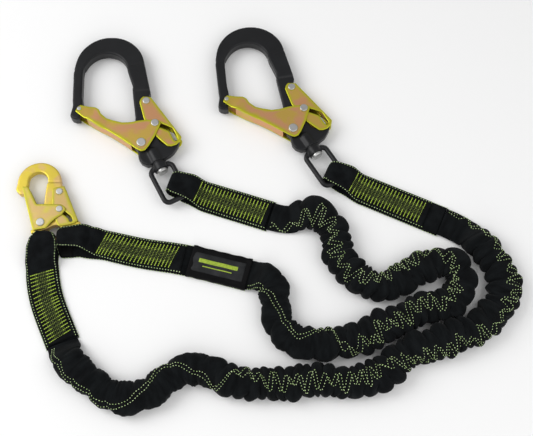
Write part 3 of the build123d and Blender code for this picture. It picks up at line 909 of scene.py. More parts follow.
@dataclass
class ScaffoldHook(HookMaker):
    """A large forged hook with a swivel eye."""

    number: int = 1
    body_voxel: float = 1.15
    eye_voxel: float = 0.8
    tip_voxel: float = 0.4
    gate_inner: float = 8.7
    lever_inner: float = 6.3

    def build(self) -> None:
        """Builds and dresses the hook's pieces."""
        gate = f"gate_{self.number}"
        self.forged("body", f"hook_{self.number}", self.body_voxel, 8, self.body_pull)
        self.forged("swivel_eye", f"eye_{self.number}", self.eye_voxel, 8)
        self.forged("tip_rivet", gate, self.tip_voxel, 2, self.tip_pull, "rivet", "rivet_steel")
        self.stamped("gate", gate, self.gate_inner, self.gate_pull)
        self.stamped("lock_lever", f"lock_{self.number}", self.lever_inner)
        self.kept("rivet", "rivet_steel", "gate_rivet", "lock_rivet", "guide_pin", "swivel_rivet")
        self.kept("wire", "spring_steel", "gate_spring", "lock_spring")
        self.kept("black", "black_steel", "swivel_washer")

    @staticmethod
    def body_pull(local: Vector) -> Vector:
        """How far the bow's long leg and its blunt nose stand off their plain drawing.

        Args:
            local: A point of the hook's own drawing.

        Returns:
            The way from there to the real surface.
        """
        leg = smooth_step(97.0, 115.0, local.y) * smooth_step(174.0, 152.0, local.y)
        leg *= smooth_step(-8.0, -28.0, local.x)
        nose = smooth_step(-40.0, -56.0, local.x) * smooth_step(108.0, 90.0, local.y)
        blunt = smooth_step(-36.0, -56.0, local.x) * smooth_step(96.0, 76.0, local.y)
        return Vector((-2.4 * leg - 4.2 * nose, 0.6 * leg + 1.0 * nose + 3.6 * blunt, 0.0))

    @staticmethod
    def tip_pull(local: Vector) -> Vector:
        """The gate's tip reaches a little further into the nose."""
        share = smooth_step(-32.0, -50.0, local.x)
        return Vector((-3.4 * share, 1.9 * share, 0.0))

    @staticmethod
    def gate_pull(local: Vector) -> Vector:
        """The joggle where the gate's narrow tip meets its wide cheeks.

        Args:
            local: A point of the hook's own drawing.

        Returns:
            The way from there to the real surface.
        """
        along = (local.x + 33) * -0.6 + (local.y - 78) * 0.8
        step = 1.9 * smooth_step(15.0, 3.0, along) * smooth_step(-26.0, -2.0, along)
        outwards = math.copysign(step, local.z) if abs(local.z) > 4 else 0.0
        return ScaffoldHook.tip_pull(local) + Vector((0.0, 0.0, outwards))


@dataclass
class SnapHook(HookMaker):
    """The smaller plated hook that both legs are sewn to."""

    body_voxel: float = 0.75
    gate_inner: float = 7.2
    lever_inner: float = 5.3

    def build(self) -> None:
        """Builds and dresses the hook's pieces."""
        self.forged("body", Body.SNAP_HOOK, self.body_voxel, 5)
        self.stamped("gate", Body.SNAP_GATE, self.gate_inner)
        self.stamped("lock_lever", Body.SNAP_LOCK, self.lever_inner)
        self.kept("rivet", "rivet_steel", "gate_rivet", "lock_rivet", "guide_pin")
        self.kept("wire", "spring_steel", "gate_spring", "lock_spring")


# ------------------------------------------------------------------ straps


@dataclass
class Station:
    """A place along a ribbon: its middle, its half width, and its sheet's direction."""

    middle: Vector
    across: Vector
    out: Vector
    half: float


@dataclass
class Ribbon:
    """A flat webbing sheet of tubular weave that follows a row of stations."""

    stations: list[Station]
    thickness: float = 2.7 * MM
    around: int = 20
    wrinkle: Callable[[float, float], float] = staticmethod(lambda along, across: 0.0)

    def __post_init__(self) -> None:
        """Measures the distance along the ribbon at each station."""
        self.along = distances([station.middle for station in self.stations])

    def surface(self, number: int, u: float, side: float) -> Vector:
        """A point on the ribbon.

        Args:
            number: Which station.
            u: From -1 at one edge to 1 at the other.
            side: 1 for the outer face, -1 for the inner face.

        Returns:
            The point in the scene.
        """
        station = self.stations[number]
        swell = (max(0.0, 1.0 - abs(u) ** 5)) ** 0.5
        lift = side * self.thickness / 2 * swell + self.wrinkle(self.along[number], u) * swell
        return station.middle + station.across * (station.half * u) + station.out * lift

    def build(self, name: str) -> bpy.types.Object:
        """Makes the ribbon's mesh, with a UV map in metres.

        Args:
            name: The piece's name.

        Returns:
            The piece.
        """
        count = self.around
        ring = []
        for step in range(count):
            angle = 2 * math.pi * step / count
            u = math.copysign(abs(math.cos(angle)) ** 0.55, math.cos(angle))
            ring.append((u, 1.0 if math.sin(angle) >= 0 else -1.0))
        verts = [self.surface(n, u, side) for n in range(len(self.stations)) for u, side in ring]
        piece = mesh_of(name, verts, tube_faces(len(self.stations), count))

        def spot(number: int) -> Point2:
            """Across the sheet and along it."""
            u, side = ring[number % count]
            return u * self.stations[number // count].half * side, self.along[number // count]

        map_cloth(piece, spot)
        return piece


@dataclass
class StrapEnd:
    """One sewn end of a leg: webbing folded round an eye and stitched back on itself.

    Sizes are in millimetres, and a table's places are distances from the fold.
    """

    name: str
    line: tuple[Point2, ...]
    halves: Table
    heights: Table
    tack: Point2
    tilt: float
    finishes: Paint
    stitches: StitchTree
    flap_end: float
    bends_with: str
    bend_span: Point2 = (62.0, 22.0)
    lower_shift: float = 0.0
    lower_halves: Table = ((0, 15.5), (30, 20.5), (60, 23.5), (300, 23.7))
    asides: Table = ((0, 0.0), (1, 0.0))
    bulge: float = 0.6
    step: float = 2.0
    turns: int = 12
    low_height: float = 1.7
    thread_inset: float = 0.91
    pad_rows: int = 9
    pad_gap: float = 2.0
    pad_thickness: float = 1.0
    row_pitch: float = 5.0
    row_half: float = 15.5
    row_tip: float = 8.0
    fill_inset: float = 6.0
    row_steps: int = 6
    bend_height: float = 5.0

    def stations(self) -> list[Station]:
        """The places of the folded webbing, from the flap's end over the fold to the jacket.

        Returns:
            The stations, in order.
        """
        rows = curve_through(self.line, self.step)
        along = distances(rows)
        pairs = zip([rows[0]] + rows, rows[1:] + [rows[-1]])
        ways = [(b - a).normalized() for a, b in pairs if (b - a).length]
        ways = [ways[min(n, len(ways) - 1)] for n in range(len(rows))]
        made: list[Station] = []

        def put(
            number: int, height: float, tangent: Point2, half: float, back: float = 0.0, aside: float = 0.0,
        ) -> None:
            """Adds a station.

            Args:
                number: The row it stands over.
                height: How high it is.
                tangent: How far the ribbon heads along and up.
                half: Half its width.
                back: How far it is moved back towards the fold.
                aside: How far it is moved to the left.
            """
            way = Vector((*ways[number], 0.0))
            left = Vector((-way.y, way.x, 0.0))
            heading = (way * tangent[0] + Vector((0, 0, tangent[1]))).normalized()
            shift = aside + between(self.asides, along[number])
            middle = Vector((*rows[number], height)) - way * back + left * shift
            made.append(Station(middle * MM, left, left.cross(heading).normalized(), half * MM))

        top = between(self.heights, 0.0)
        last = max(n for n, d in enumerate(along) if d <= self.flap_end)
        for number in range(last, 1, -1):
            here = between(self.heights, along[number])
            ahead = between(self.heights, along[number - 1])
            run = along[number] - along[number - 1]
            put(number, here, (-run, ahead - here), between(self.halves, along[number]))
        radius = (top - self.low_height) / 2
        centre = (top + self.low_height) / 2
        first = between(self.lower_halves, 0.0)
        for number in range(1, self.turns):
            angle = math.pi * number / self.turns
            share = smooth_step(0.5, 1.0, number / self.turns)
            half = self.halves[0][1] + (first - self.halves[0][1]) * share
            back = 0.35 * radius * math.sin(angle) - self.step * abs(math.cos(angle)) * 0.5
            put(1, centre + radius * math.cos(angle), (-math.cos(angle), -math.sin(angle)), half, back,
                self.lower_shift * share)
        for number in range(2, len(rows)):
            there = 1 - smooth_step(self.tack[0] - 25, self.tack[0] + 14, along[number])
            put(number, self.low_height, (1.0, 0.0), between(self.lower_halves, along[number]),
                aside=self.lower_shift * there)
        self.top_count = last - 1
        self.along = along
        return made

    def wrinkle(self, along: float, u: float) -> float:
        """Soft creases where the webbing is bunched and pulled round the eye.

        Args:
            along: The distance from the flap's end, in metres.
            u: From -1 at one edge to 1 at the other.

        Returns:
            How far the sheet stands out, in metres.
        """
        distance = self.flap_end - along / MM
        near = smooth_step(self.tack[0] + 4.0, self.tack[0] - 16.0, abs(distance))
        pleats = 0.6 * math.sin(5.0 * u + 0.05 * distance) + 0.35 * math.sin(9.0 * u + 2.0)
        cross = 0.45 * math.sin(distance * 0.42 + 2.1 * u) * smooth_step(4.0, 22.0, abs(distance))
        belly = self.bulge * (1 - u * u) * near
        rise = near * self.bulge * (pleats * 0.5 + cross) + belly + 0.10 * math.sin(distance * 0.35 + 3 * u)
        on_floor = smooth_step(2.0, -14.0, distance)
        return (rise * (1 - on_floor) + min(rise, 0.2) * on_floor) * MM

    def build(self) -> None:
        """Makes the webbing, its wear sleeve, its edge threads and its stitching."""
        stations = self.stations()
        ribbon = Ribbon(stations, wrinkle=self.wrinkle)
        webbing = ribbon.build(f"{self.name}_folded_webbing")
        dress(webbing, self.finishes["webbing"])
        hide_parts(f"{self.name}_end_webbing")
        self.keep(webbing)
        self.build_pad(stations)
        self.build_threads(ribbon)
        self.build_tack(ribbon)

    def build_pad(self, stations: list[Station]) -> None:
        """Makes the thin wear sleeve inside the fold.

        Args:
            stations: The places of the folded webbing.
        """
        start = self.top_count - self.pad_rows
        gap = self.pad_gap * MM
        inside = [
            Station(s.middle - s.out * gap, s.across, s.out, max(s.half - gap, 2 * gap))
            for s in stations[start:start + 2 * self.pad_rows + self.turns - 1]
        ]
        pad = Ribbon(inside, thickness=self.pad_thickness * MM).build(f"{self.name}_wear_sleeve")
        dress(pad, self.finishes["sleeve"])
        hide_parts(f"{self.name}_wear_pad")
        self.keep(pad)

    def build_threads(self, ribbon: Ribbon) -> None:
        """Lays the marker threads along both edges of both sheets.

        Args:
            ribbon: The folded webbing.
        """
        lines = []
        raised = 0.1 * MM
        top = self.top_count + self.turns - 1
        for side in (-1.0, 1.0):
            upper = [
                ribbon.surface(n, side * self.thread_inset, 1.0) + ribbon.stations[n].out * raised
                for n in range(0, top - 2)
            ]
            lower = []
            for n in range(top + 1, len(ribbon.stations)):
                station = ribbon.stations[n]
                edge = station.middle + station.across * side * (station.half + raised)
                lower.append(edge - station.out * 0.6 * MM)
            lines += [upper, lower]
        threads = self.stitches.lay(f"{self.name}_edge_threads", lines, self.finishes["pale"], EDGE_STITCH)
        self.keep(threads)

    def build_tack(self, ribbon: Ribbon) -> None:
        """Sews the block: rows right across, brighter at both ends, with duller dots between.

        Args:
            ribbon: The folded webbing.
        """
        start, end = self.tack
        count = round((end - start) / self.row_pitch)
        pitch = (end - start) / count
        wide, inner = self.row_half, self.row_half - self.fill_inset
        lines: dict[str, list[list[Vector]]] = {"rows": [], "ends": [], "fill": []}
        for row in range(count):
            at = start + (row + 0.5) * pitch
            lines["rows"].append(self.row_line(ribbon, at, -wide, wide))
            lines["ends"].append(self.row_line(ribbon, at, -wide, -wide + self.row_tip))
            lines["ends"].append(self.row_line(ribbon, at, wide - self.row_tip, wide))
            if row < count - 1:
                lines["fill"].append(self.row_line(ribbon, at + pitch / 3, -inner, inner))
                lines["fill"].append(self.row_line(ribbon, at + 2 * pitch / 3, -inner, inner))
        made = [
            self.stitches.lay(f"{self.name}_tack_{part}", lines[part], self.finishes[paint], stitch)
            for part, (paint, stitch) in TACK_STITCHES.items()
        ]
        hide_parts(f"{self.name}_bartack")
        for piece in made:
            self.keep(piece)

    def on_top(self, ribbon: Ribbon, distance: float, aside: float) -> Vector:
        """A point on the top sheet.

        Args:
            ribbon: The folded webbing.
            distance: The way along from the fold, in millimetres.
            aside: The way across, in millimetres.

        Returns:
            The point in the scene.
        """
        place = distance / self.along[-1] * (len(self.along) - 1)
        low = max(2, min(int(place), len(self.along) - 2))
        share = place - low
        last = self.top_count + 1
        points = []
        for number in (low, low + 1):
            index = min(max(last - number, 0), self.top_count)
            half = ribbon.stations[index].half / MM
            points.append(ribbon.surface(index, max(-0.95, min(0.95, aside / half)), 1.0))
        return points[0].lerp(points[1], share) + Vector((0, 0, 0.2 * MM))

    def row_line(self, ribbon: Ribbon, distance: float, low: float, high: float) -> list[Vector]:
        """A stitch row across the top sheet between two ways across."""
        slant = math.tan(math.radians(self.tilt))
        places = [low + (high - low) * n / self.row_steps for n in range(self.row_steps + 1)]
        return [self.on_top(ribbon, distance + place * slant, place) for place in places]

    def keep(self, piece: bpy.types.Object) -> None:
        """Bakes a piece's place into its mesh and logs it.

        Args:
            piece: The piece.
        """
        fold = Vector(self.line[0])
        way = (Vector(self.line[1]) - fold).normalized()
        start, end = (Vector((*(fold + way * reach), self.bend_height)) * MM for reach in self.bend_span)
        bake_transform(piece)
        log_piece(piece)


# ------------------------------------------------------------------ jackets

Ring = tuple[float, Vector, Vector]
NO_LOBE = (-1.0, 0.0, 0.0)
CLOTH_ROUND = 0.09
CLOTH_STRETCH = 1.8
CORE_OUTLINE = (
    (-7.6, -2.6), (7.6, -2.6), (7.6, 2.6), (-7.6, 2.6), (-7.6, 1.0), (5.8, 1.0), (5.8, 0.6), (-7.6, 0.6),
)


@dataclass
class Jacket:
    """A leg's gathered tubular webbing, bunched over the absorber webbing inside it.

    Sizes are in millimetres but for the whole length, and a table's places are distances along it.
    """

    number: int
    route: tuple[Point2, ...]
    gather: Table
    seam: Table
    length: float
    seed: int
    finishes: Paint
    stitches: StitchTree
    middle_height: float = 14.0
    half_width: float = 16.6
    half_height: float = 11.4
    ring_step: float = 1.1
    around: int = 52
    ends: float = 26.0
    flat_end: float = 26.0
    big: Point3 = NO_LOBE
    flat_height: float = 3.3
    flat_gain: float = 4.6
    loose_gain: float = 0.8
    loose_drop: float = 1.2
    side_puff: Point2 = (3.0, 5.0)
    top_puff: Point2 = (1.5, 3.0)
    lowest: float = 0.5
    core_inset: float = 40.0
    track_gap: float = 4.6

    def spine(self) -> list[Vector]:
        """Reads the jacket's middle line from its smooth spline.

        Returns:
            The points of the line.
        """
        curve = bpy.data.curves.new(f"leg_{self.number}_route", "CURVE")
        curve.dimensions = "3D"
        curve.resolution_u = 24
        spline = curve.splines.new("NURBS")
        spline.points.add(len(self.route) - 1)
        for point, (x, y) in zip(spline.points, self.route):
            point.co = (x * MM, y * MM, self.middle_height * MM, 1.0)
        spline.order_u = 3
        spline.use_endpoint_u = True
        guide = bpy.data.objects.new(curve.name, curve)
        mesh = bpy.data.meshes.new_from_object(guide)
        line = [v.co.copy() for v in mesh.vertices]
        bpy.data.objects.remove(guide)
        return line

    def rings(self, line: list[Vector]) -> list[Ring]:
        """Even places along the line, each with its distance and its left-hand direction.

        Args:
            line: The middle line.

        Returns:
            A row for each ring of the jacket.
        """
        total = distances(line)
        count = round(total[-1] / (self.ring_step * MM))
        made = []
        index = 0
        for number in range(count + 1):
            at = total[-1] * number / count
            while index < len(total) - 2 and total[index + 1] < at:
                index += 1
            share = (at - total[index]) / (total[index + 1] - total[index])
            made.append((at / MM, line[index].lerp(line[index + 1], share)))
        rows = []
        reach = 3
        for number, (at, place) in enumerate(made):
            ahead = made[min(number + reach, count)][1] - made[max(number - reach, 0)][1]
            ahead.normalize()
            rows.append((at, place, Vector((-ahead.y, ahead.x, 0.0))))
        self.total = total[-1] / MM
        return rows

    def folds(self, dice: random.Random, side: float, big: Point3) -> list[Point2]:
        """Creases along one side, each with its place and the size of the lobe after it.

        Args:
            dice: Where the unevenness comes from.
            side: 1 for the left side and -1 for the right; the side with the marker threads has more.
            big: Start, length and size of one large lobe, or a start below 0 for none.

        Returns:
            A row for each crease, in order.
        """
        made = []
        at = -20.0
        while at < self.total + 40:
            if 0 < big[0] and at < big[0] + big[1] / 2 and at > big[0] - 9:
                made.append((at, big[2]))
                at += big[1]
                continue
            busy = 0.62 + 0.38 * smooth_step(-0.5, 0.2, side * between(self.seam, at))
            long = (31.0 - 19.0 * between(self.gather, at) * busy) * dice.uniform(0.55, 1.5)
            made.append((at, dice.uniform(0.6, 1.0) * (0.55 + 0.035 * long)))
            dice.random()  # a crease takes three draws
            at += long
        return made

    @staticmethod
    def lobe(folds: list[Point2], at: float, hint: list[int]) -> float:
        """How far a side puffs out at a place.

        Args:
            folds: The side's creases.
            at: The place along the jacket.
            hint: The last crease found, kept between calls.

        Returns:
            The puff, from 0 to about 1.
        """
        index = hint[0]
        while index > 0 and folds[index][0] > at:
            index -= 1
        while index < len(folds) - 2 and folds[index + 1][0] <= at:
            index += 1
        hint[0] = index
        start, size = folds[index]
        share = min(max((at - start) / (folds[index + 1][0] - start), 0.0), 1.0)
        return size * (4 * share * (1 - share)) ** 0.55

    def skin_point(self, row: Ring, angle: float, outwards: float = 0.0) -> Vector:
        """A point of the gathered surface.

        Args:
            row: The ring's distance, place and left-hand direction.
            angle: The way round, from the left over the top.
            outwards: How far off the surface the point lies, in millimetres.

        Returns:
            The point in the scene.
        """
        at, place, left = row
        tight = between(self.gather, at)
        cosine, sine = math.cos(angle), math.sin(angle)
        skew = 2.6 * math.sin(2.0 * angle + 0.045 * at) + 1.6 * math.sin(3.0 * angle - 0.11 * at)
        puff_left = self.lobe(self.left_folds, at + skew, self.hints[0])
        puff_right = self.lobe(self.right_folds, at + skew, self.hints[1])
        share = smooth_step(-0.45, 0.45, cosine + 0.25 * math.sin(0.07 * at))
        puff = puff_left * share + puff_right * (1 - share)
        sewn = self.total - self.flat_end
        flat = min(smooth_step(0.0, self.ends, at), smooth_step(sewn, sewn - self.ends, at))
        wide = self.half_width + (1 - tight) * self.loose_gain + (1 - flat) * self.flat_gain
        full = self.half_height - self.loose_drop * (1 - tight) - self.flat_height
        high = self.flat_height + full * flat
        middle = self.flat_height + 0.3 + (self.middle_height - self.flat_height - 0.3) * flat
        side = (self.side_puff[0] + self.side_puff[1] * tight) * puff * flat
        over = (self.top_puff[0] + self.top_puff[1] * tight) * puff * flat
        slow = 0.9 * math.sin(0.055 * at + 2.2 * angle) + 0.5 * math.sin(0.19 * at - 3 * angle)
        slow += 0.45 * (1.2 - tight) * math.sin(0.62 * at + 2.2 * math.sin(0.11 * at) + 1.5 * angle)
        side_reach = wide + side + slow * flat + outwards
        up_reach = high + over + 0.5 * slow * flat + outwards
        x = math.copysign(abs(cosine) ** 0.86, cosine) * side_reach
        z = math.copysign(abs(sine) ** 0.9, sine) * up_reach
        z = max(middle + z, self.lowest)
        sway = 1.2 * math.sin(0.09 * at + self.seed) * tight * flat
        spot = place + left * (x + sway) * MM
        return Vector((spot.x, spot.y, z * MM))

    def build(self) -> None:
        """Makes the gathered skin, its marker threads and the absorber webbing inside."""
        line = self.spine()
        rows = self.rings(line)
        dice = random.Random(self.seed)
        self.left_folds = self.folds(dice, 1.0, NO_LOBE)
        self.right_folds = self.folds(dice, -1.0, self.big)
        self.hints = ([0], [0])
        skin = self.build_skin(rows)
        core = self.build_core(rows)
        threads = self.build_threads(rows)
        for piece, slot in ((skin, "jacket_webbing"), (core, "absorber_webbing"), (threads, "lime_thread")):
            on_body(piece, slot, Body.WEBBING)
        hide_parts(f"leg_{self.number}_stretch_jacket")
        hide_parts(f"leg_{self.number}_absorber_core")
        tuple(line[0])
        [tuple(p) for p in line]

    def build_skin(self, rows: list[Ring]) -> bpy.types.Object:
        """The gathered tube itself."""
        turns = [2 * math.pi * step / self.around for step in range(self.around)]
        verts = [self.skin_point(row, angle) for row in rows for angle in turns]
        return self.tube(f"leg_{self.number}_gathered_jacket", rows, verts, self.finishes["jacket"])

    @staticmethod
    def tube(
        name: str, rows: list[Ring], verts: list[Vector], material: bpy.types.Material,
    ) -> bpy.types.Object:
        """Closes rings of points into a tube with a UV map in metres.

        Args:
            name: The piece's name.
            rows: The rings' places.
            verts: The rings' points, as many in each.
            material: The tube's material.

        Returns:
            The piece.
        """
        count = len(verts) // len(rows)
        piece = mesh_of(name, verts, tube_faces(len(rows), count))
        map_cloth(piece, lambda number: (
            CLOTH_ROUND * (number % count) / count, CLOTH_STRETCH * rows[number // count][0] * MM,
        ))
        dress(piece, material)
        return piece

    def build_core(self, rows: list[Ring]) -> bpy.types.Object:
        """The tear webbing, folded in three inside the jacket.

        Args:
            rows: The jacket's rings.

        Returns:
            The piece.
        """
        far = self.total - self.flat_end - self.core_inset
        inside = [row for row in rows[::3] if self.core_inset < row[0] < far]
        verts = []
        for at, place, left in inside:
            ruffle = 0.35 * math.sin(0.5 * at)
            for x, z in CORE_OUTLINE:
                spot = place + left * x * MM
                verts.append(Vector((spot.x, spot.y, spot.z + (z + ruffle) * MM)))
        return self.tube(f"leg_{self.number}_tear_webbing", inside, verts, self.finishes["undyed"])

    def build_threads(self, rows: list[Ring]) -> bpy.types.Object:
        """The two marker threads, which zigzag where the webbing is bunched.

        Args:
            rows: The jacket's rings.

        Returns:
            The piece.
        """
        dice = random.Random(self.seed + 1)
        knots = [(-30.0, 0.0)]
        sign = 1.0
        while knots[-1][0] < self.total + 40:
            tight = between(self.gather, knots[-1][0])
            reach = tight ** 1.4 * dice.uniform(0.2, 0.62) + 0.04 * (1 - tight)
            long = dice.uniform(5.5, 11.0) * (1.0 + 1.6 * (1 - tight))
            knots.append((knots[-1][0] + long, sign * reach))
            sign = -sign
        lines: list[list[Vector]] = [[], []]
        for row in rows[4:-4]:
            at = row[0]
            for track, shift in enumerate((0.0, self.track_gap)):
                tight = between(self.gather, at + shift)
                spread = (1 - 0.6 * tight) * 0.14 * (1 if track else -1)
                wander = 0.1 * tight * math.sin(0.23 * at + 2.0 * track)
                across = between(self.seam, at) + spread + between(knots, at + shift) + wander
                angle = math.acos(max(-0.97, min(0.97, across)))
                lines[track].append(self.skin_point(row, angle, 0.15))
        return self.stitches.lay(
            f"leg_{self.number}_marker_threads", lines, self.finishes["pale"], MARKER_STITCH,
        )


# ------------------------------------------------------------------ label


@dataclass
class LabelSleeve:
    """The black sleeve over the end of leg 1's strap, with a plain label in its face.

    Sizes are in millimetres. A bar is its way across the label, its length and half its width.
    """

    start: Point2
    end: Point2
    finishes: Paint
    half_width: float = 23.2
    height: float = 7.3
    length: float = 86.0
    shift: float = 2.0
    rows: int = 60
    around: int = 48
    floor_gap: float = 0.3
    hem_rise: float = 0.5
    label_along: float = -2.0
    label_length: float = 76.0
    label_half: float = 14.0
    label_lift: float = 0.5
    bar_lift: float = 0.75
    bars: tuple[Point3, ...] = ((3.0, 58.0, 3.2), (-5.0, 44.0, 0.8))
    patch_cells: tuple[int, int] = (40, 12)

    def spot(self, along: float, aside: float, high: float) -> Vector:
        """A point of the scene, from the way along and across the sleeve and the height.

        Args:
            along: The way along from the sleeve's middle.
            aside: The way to the left.
            high: The height over the floor.

        Returns:
            The point in the scene.
        """
        a, b = Vector(self.start), Vector(self.end)
        way = (b - a).normalized()
        middle = (a + b) / 2 + way * (self.shift + along) + Vector((-way.y, way.x)) * aside
        return Vector((*middle, high)) * MM

    def top(self, along: float, aside: float) -> float:
        """The height of the sleeve's face, with the soft folds of its cloth."""
        swell = 0.7 * math.cos(aside / self.half_width * 1.4)
        ripple = 0.30 * math.sin(along * 0.21 + aside * 0.12) + 0.22 * math.sin(along * 0.09 - aside * 0.31)
        return self.height + swell + ripple

    def build(self) -> None:
        """Makes the sleeve, the label and its plain bars."""
        verts, uvs = [], []
        for n in range(self.rows + 1):
            along = self.length * (n / self.rows - 0.5)
            hem = self.hem_rise * smooth_step(self.length / 2 - 7, self.length / 2 - 5, abs(along))
            for step in range(self.around):
                angle = 2 * math.pi * step / self.around
                aside = math.copysign(abs(math.cos(angle)) ** 0.4, math.cos(angle)) * (self.half_width + hem)
                rise = math.sin(angle)
                high = self.top(along, aside) + hem
                if rise <= 0.35:
                    high = self.floor_gap + (high - self.floor_gap) * smooth_step(-0.4, 0.35, rise)
                aside += 0.35 * math.sin(along * 0.3) if abs(rise) < 0.5 else 0.0
                verts.append(self.spot(along, aside, high))
                uvs.append((step / self.around * 0.11, along * MM))
        sleeve = mesh_of("label_sleeve_cloth", verts, tube_faces(self.rows + 1, self.around))
        map_cloth(sleeve, uvs.__getitem__)
        dress(sleeve, self.finishes["sleeve"])
        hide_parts("label_sleeve")
        on_body(sleeve, "label_sleeve", Body.WEBBING)
        label = self.patch("label_face", 0.0, self.label_length, self.label_half, self.label_lift)
        dress(label, self.finishes["label"])
        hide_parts("label")
        on_body(label, "label_face", Body.WEBBING)
        for number, (aside, long, half) in enumerate(self.bars, 1):
            bar = self.patch(f"label_bar_{number}", aside, long, half, self.bar_lift)
            dress(bar, self.finishes["lime_print"])
            on_body(bar, "label_face", Body.WEBBING)

    def patch(self, name: str, across: float, long: float, half: float, lift: float) -> bpy.types.Object:
        """A thin sheet that follows the sleeve's face.

        Args:
            name: The piece's name.
            across: Its middle across the sleeve.
            long: Its length.
            half: Half its width.
            lift: How far its face stands off the sleeve.

        Returns:
            The piece.
        """
        cols, rows = self.patch_cells
        verts, faces = [], []
        for level in (0.0, 1.0):
            for n in range(cols + 1):
                for m in range(rows + 1):
                    u, v = n / cols - 0.5, m / rows - 0.5
                    along, aside = self.label_along + u * long, across + 2 * v * half
                    edge = min(smooth_step(0.5, 0.47, abs(u)), smooth_step(0.5, 0.42, abs(v)))
                    z = self.top(along, aside) + (lift * (0.35 + 0.65 * edge) if level else -0.4)
                    verts.append(self.spot(along, aside, z))
        size = (cols + 1) * (rows + 1)
        for n in range(cols):
            for m in range(rows):
                a = n * (rows + 1) + m
                faces.append((a, a + 1, a + rows + 2, a + rows + 1))
                faces.append((size + a, size + a + rows + 1, size + a + rows + 2, size + a + 1))
        rim = [n * (rows + 1) for n in range(cols + 1)]
        rim += [cols * (rows + 1) + m for m in range(1, rows + 1)]
        rim += [n * (rows + 1) + rows for n in range(cols - 1, -1, -1)]
        rim += [m for m in range(rows - 1, 0, -1)]
        for a, b in zip(rim, rim[1:] + rim[:1]):
            faces.append((a, b, b + size, a + size))
        piece = mesh_of(name, verts, faces)
        map_cloth(piece, lambda number: tuple(piece.data.vertices[number].co[:2]))
        return piece


# ------------------------------------------------------------------ studio


@dataclass
class Studio:
    """The pale floor, the soft lights and the camera."""

    target: Point3 = (0.050, -0.059, 0.0)
    distance: float = 1.350
    elevation: float = 68.0
    lens: float = 62.95
    floor_half: float = 4.0
    floor_grey: float = 0.92
    sky: float = 0.5
    shine: float = 0.9

    def build(self) -> None:
        """Puts everything round the lanyard."""
        self.floor()
        self.camera()
        self.light("key", (-1.6, 0.2, 1.6), 1.6, 27.0)
        self.light("fill", (1.3, -0.5, 1.6), 1.8, 10.0)
        self.light("front", (0.1, -1.7, 1.2), 1.6, 8.0)
        world = bpy.data.worlds.new("studio")
        world.use_nodes = True
        sky = world.node_tree.nodes["Background"].inputs
        sky["Color"].default_value = (1.0, 1.0, 1.0, 1.0)
        sky["Strength"].default_value = self.sky
        bpy.context.scene.world = world
        bpy.context.scene.view_settings.view_transform = "Standard"

    def floor(self) -> None:
        """A plain pale sheet under the lanyard."""
        half = self.floor_half
        corners = ((-half, -half, 0), (half, -half, 0), (half, half, 0), (-half, half, 0))
        floor = mesh_of("studio_floor", corners, [(0, 1, 2, 3)])
        w = MaterialWiring("studio_floor")
        w.feed(Base_Color=(*[self.floor_grey] * 3, 1.0), Roughness=0.85)
        dress(floor, w.material)

    def camera(self) -> None:
        """The camera, from the front and well above."""
        data = bpy.data.cameras.new("camera")
        data.lens = self.lens
        camera = bpy.data.objects.new("camera", data)
        tilt = math.radians(self.elevation)
        away = Vector((0.0, -math.cos(tilt), math.sin(tilt))) * self.distance
        camera.location = Vector(self.target) + away
        camera.rotation_euler = (-away).to_track_quat("-Z", "Y").to_euler()
        bpy.context.scene.collection.objects.link(camera)
        bpy.context.scene.camera = camera

    def light(self, name: str, place: Point3, size: float, power: float) -> None:
        """A large soft light that faces the lanyard.

        Args:
            name: Its name.
            place: Where it hangs.
            size: The side of its square.
            power: Its power in watts.
        """
        data = bpy.data.lights.new(name, "AREA")
        data.size = size
        data.energy = power
        data.specular_factor = self.shine
        lamp = bpy.data.objects.new(name, data)
        lamp.location = place
        lamp.rotation_euler = (Vector(self.target) - Vector(place)).to_track_quat("-Z", "Y").to_euler()
        bpy.context.scene.collection.objects.link(lamp)


# ------------------------------------------------------------------ the whole lanyard

SCAFFOLD_PLACES = (Place(-134.2, 51.4, 13.2, 27.6), Place(89.4, 74.9, 13.2, 31.8))
SNAP_PLACE = Place(-272.2, -73.0, 10.6, 13.2)
SCAFFOLD_GROOVES = (((-43.0, 160.0), (-20.0, 155.0)), ((33.0, 130.0), (66.0, 121.0)))
SNAP_GROOVES = (((17.0, 62.0), (36.0, 57.6)),)

LEG_1_ROUTE = (
    (25, -147), (45, -152), (61, -167), (63, -190), (64, -218), (80, -241), (108, -250),
    (142, -247), (181, -241), (215, -224), (245, -207), (271, -199), (297, -194), (319, -178),
    (324, -155), (311, -135), (286, -131), (262, -141), (239, -160), (210, -168), (184, -162),
    (166, -143), (152, -121), (149, -97), (143, -74), (124, -60), (100, -59), (77.4, -64.9),
    (56.5, -58),
)
LEG_2_ROUTE = (
    (-229, -246), (-222.4, -265), (-206, -285), (-183, -300), (-164, -316), (-140, -323),
    (-114, -319), (-93, -307), (-75, -291), (-51, -282), (-25, -287), (1, -299), (31, -305),
    (66, -303), (106, -299), (148, -301), (182, -301), (206, -291), (223, -274), (245, -260),
    (271, -250), (300, -242), (328, -233), (354, -218), (373, -196), (382, -169), (378, -142),
    (364, -119), (350, -101), (332, -79), (303, -66),
)
LEG_1_GATHER = (
    (0, 0.1), (60, 0.15), (110, 0.2), (150, 0.3), (175, 0.9), (230, 1.0), (640, 1.0), (700, 0.85),
    (760, 0.7),
)
LEG_2_GATHER = (
    (0, 0.25), (60, 0.35), (90, 0.1), (250, 0.15), (275, 0.8), (310, 1.0), (560, 1.0), (760, 1.0),
    (800, 0.75), (830, 0.2),
)
LEG_1_SEAM = (
    (0, -0.8), (35, -0.75), (60, -0.2), (90, 0.3), (130, 0.2), (170, 0.85), (205, -0.7), (260, -0.1),
    (330, 0.1), (400, 0.5), (450, -0.7), (520, -0.6), (580, 0.25), (640, 0.1), (690, 0.3), (730, 0.6),
    (760, 0.85),
)
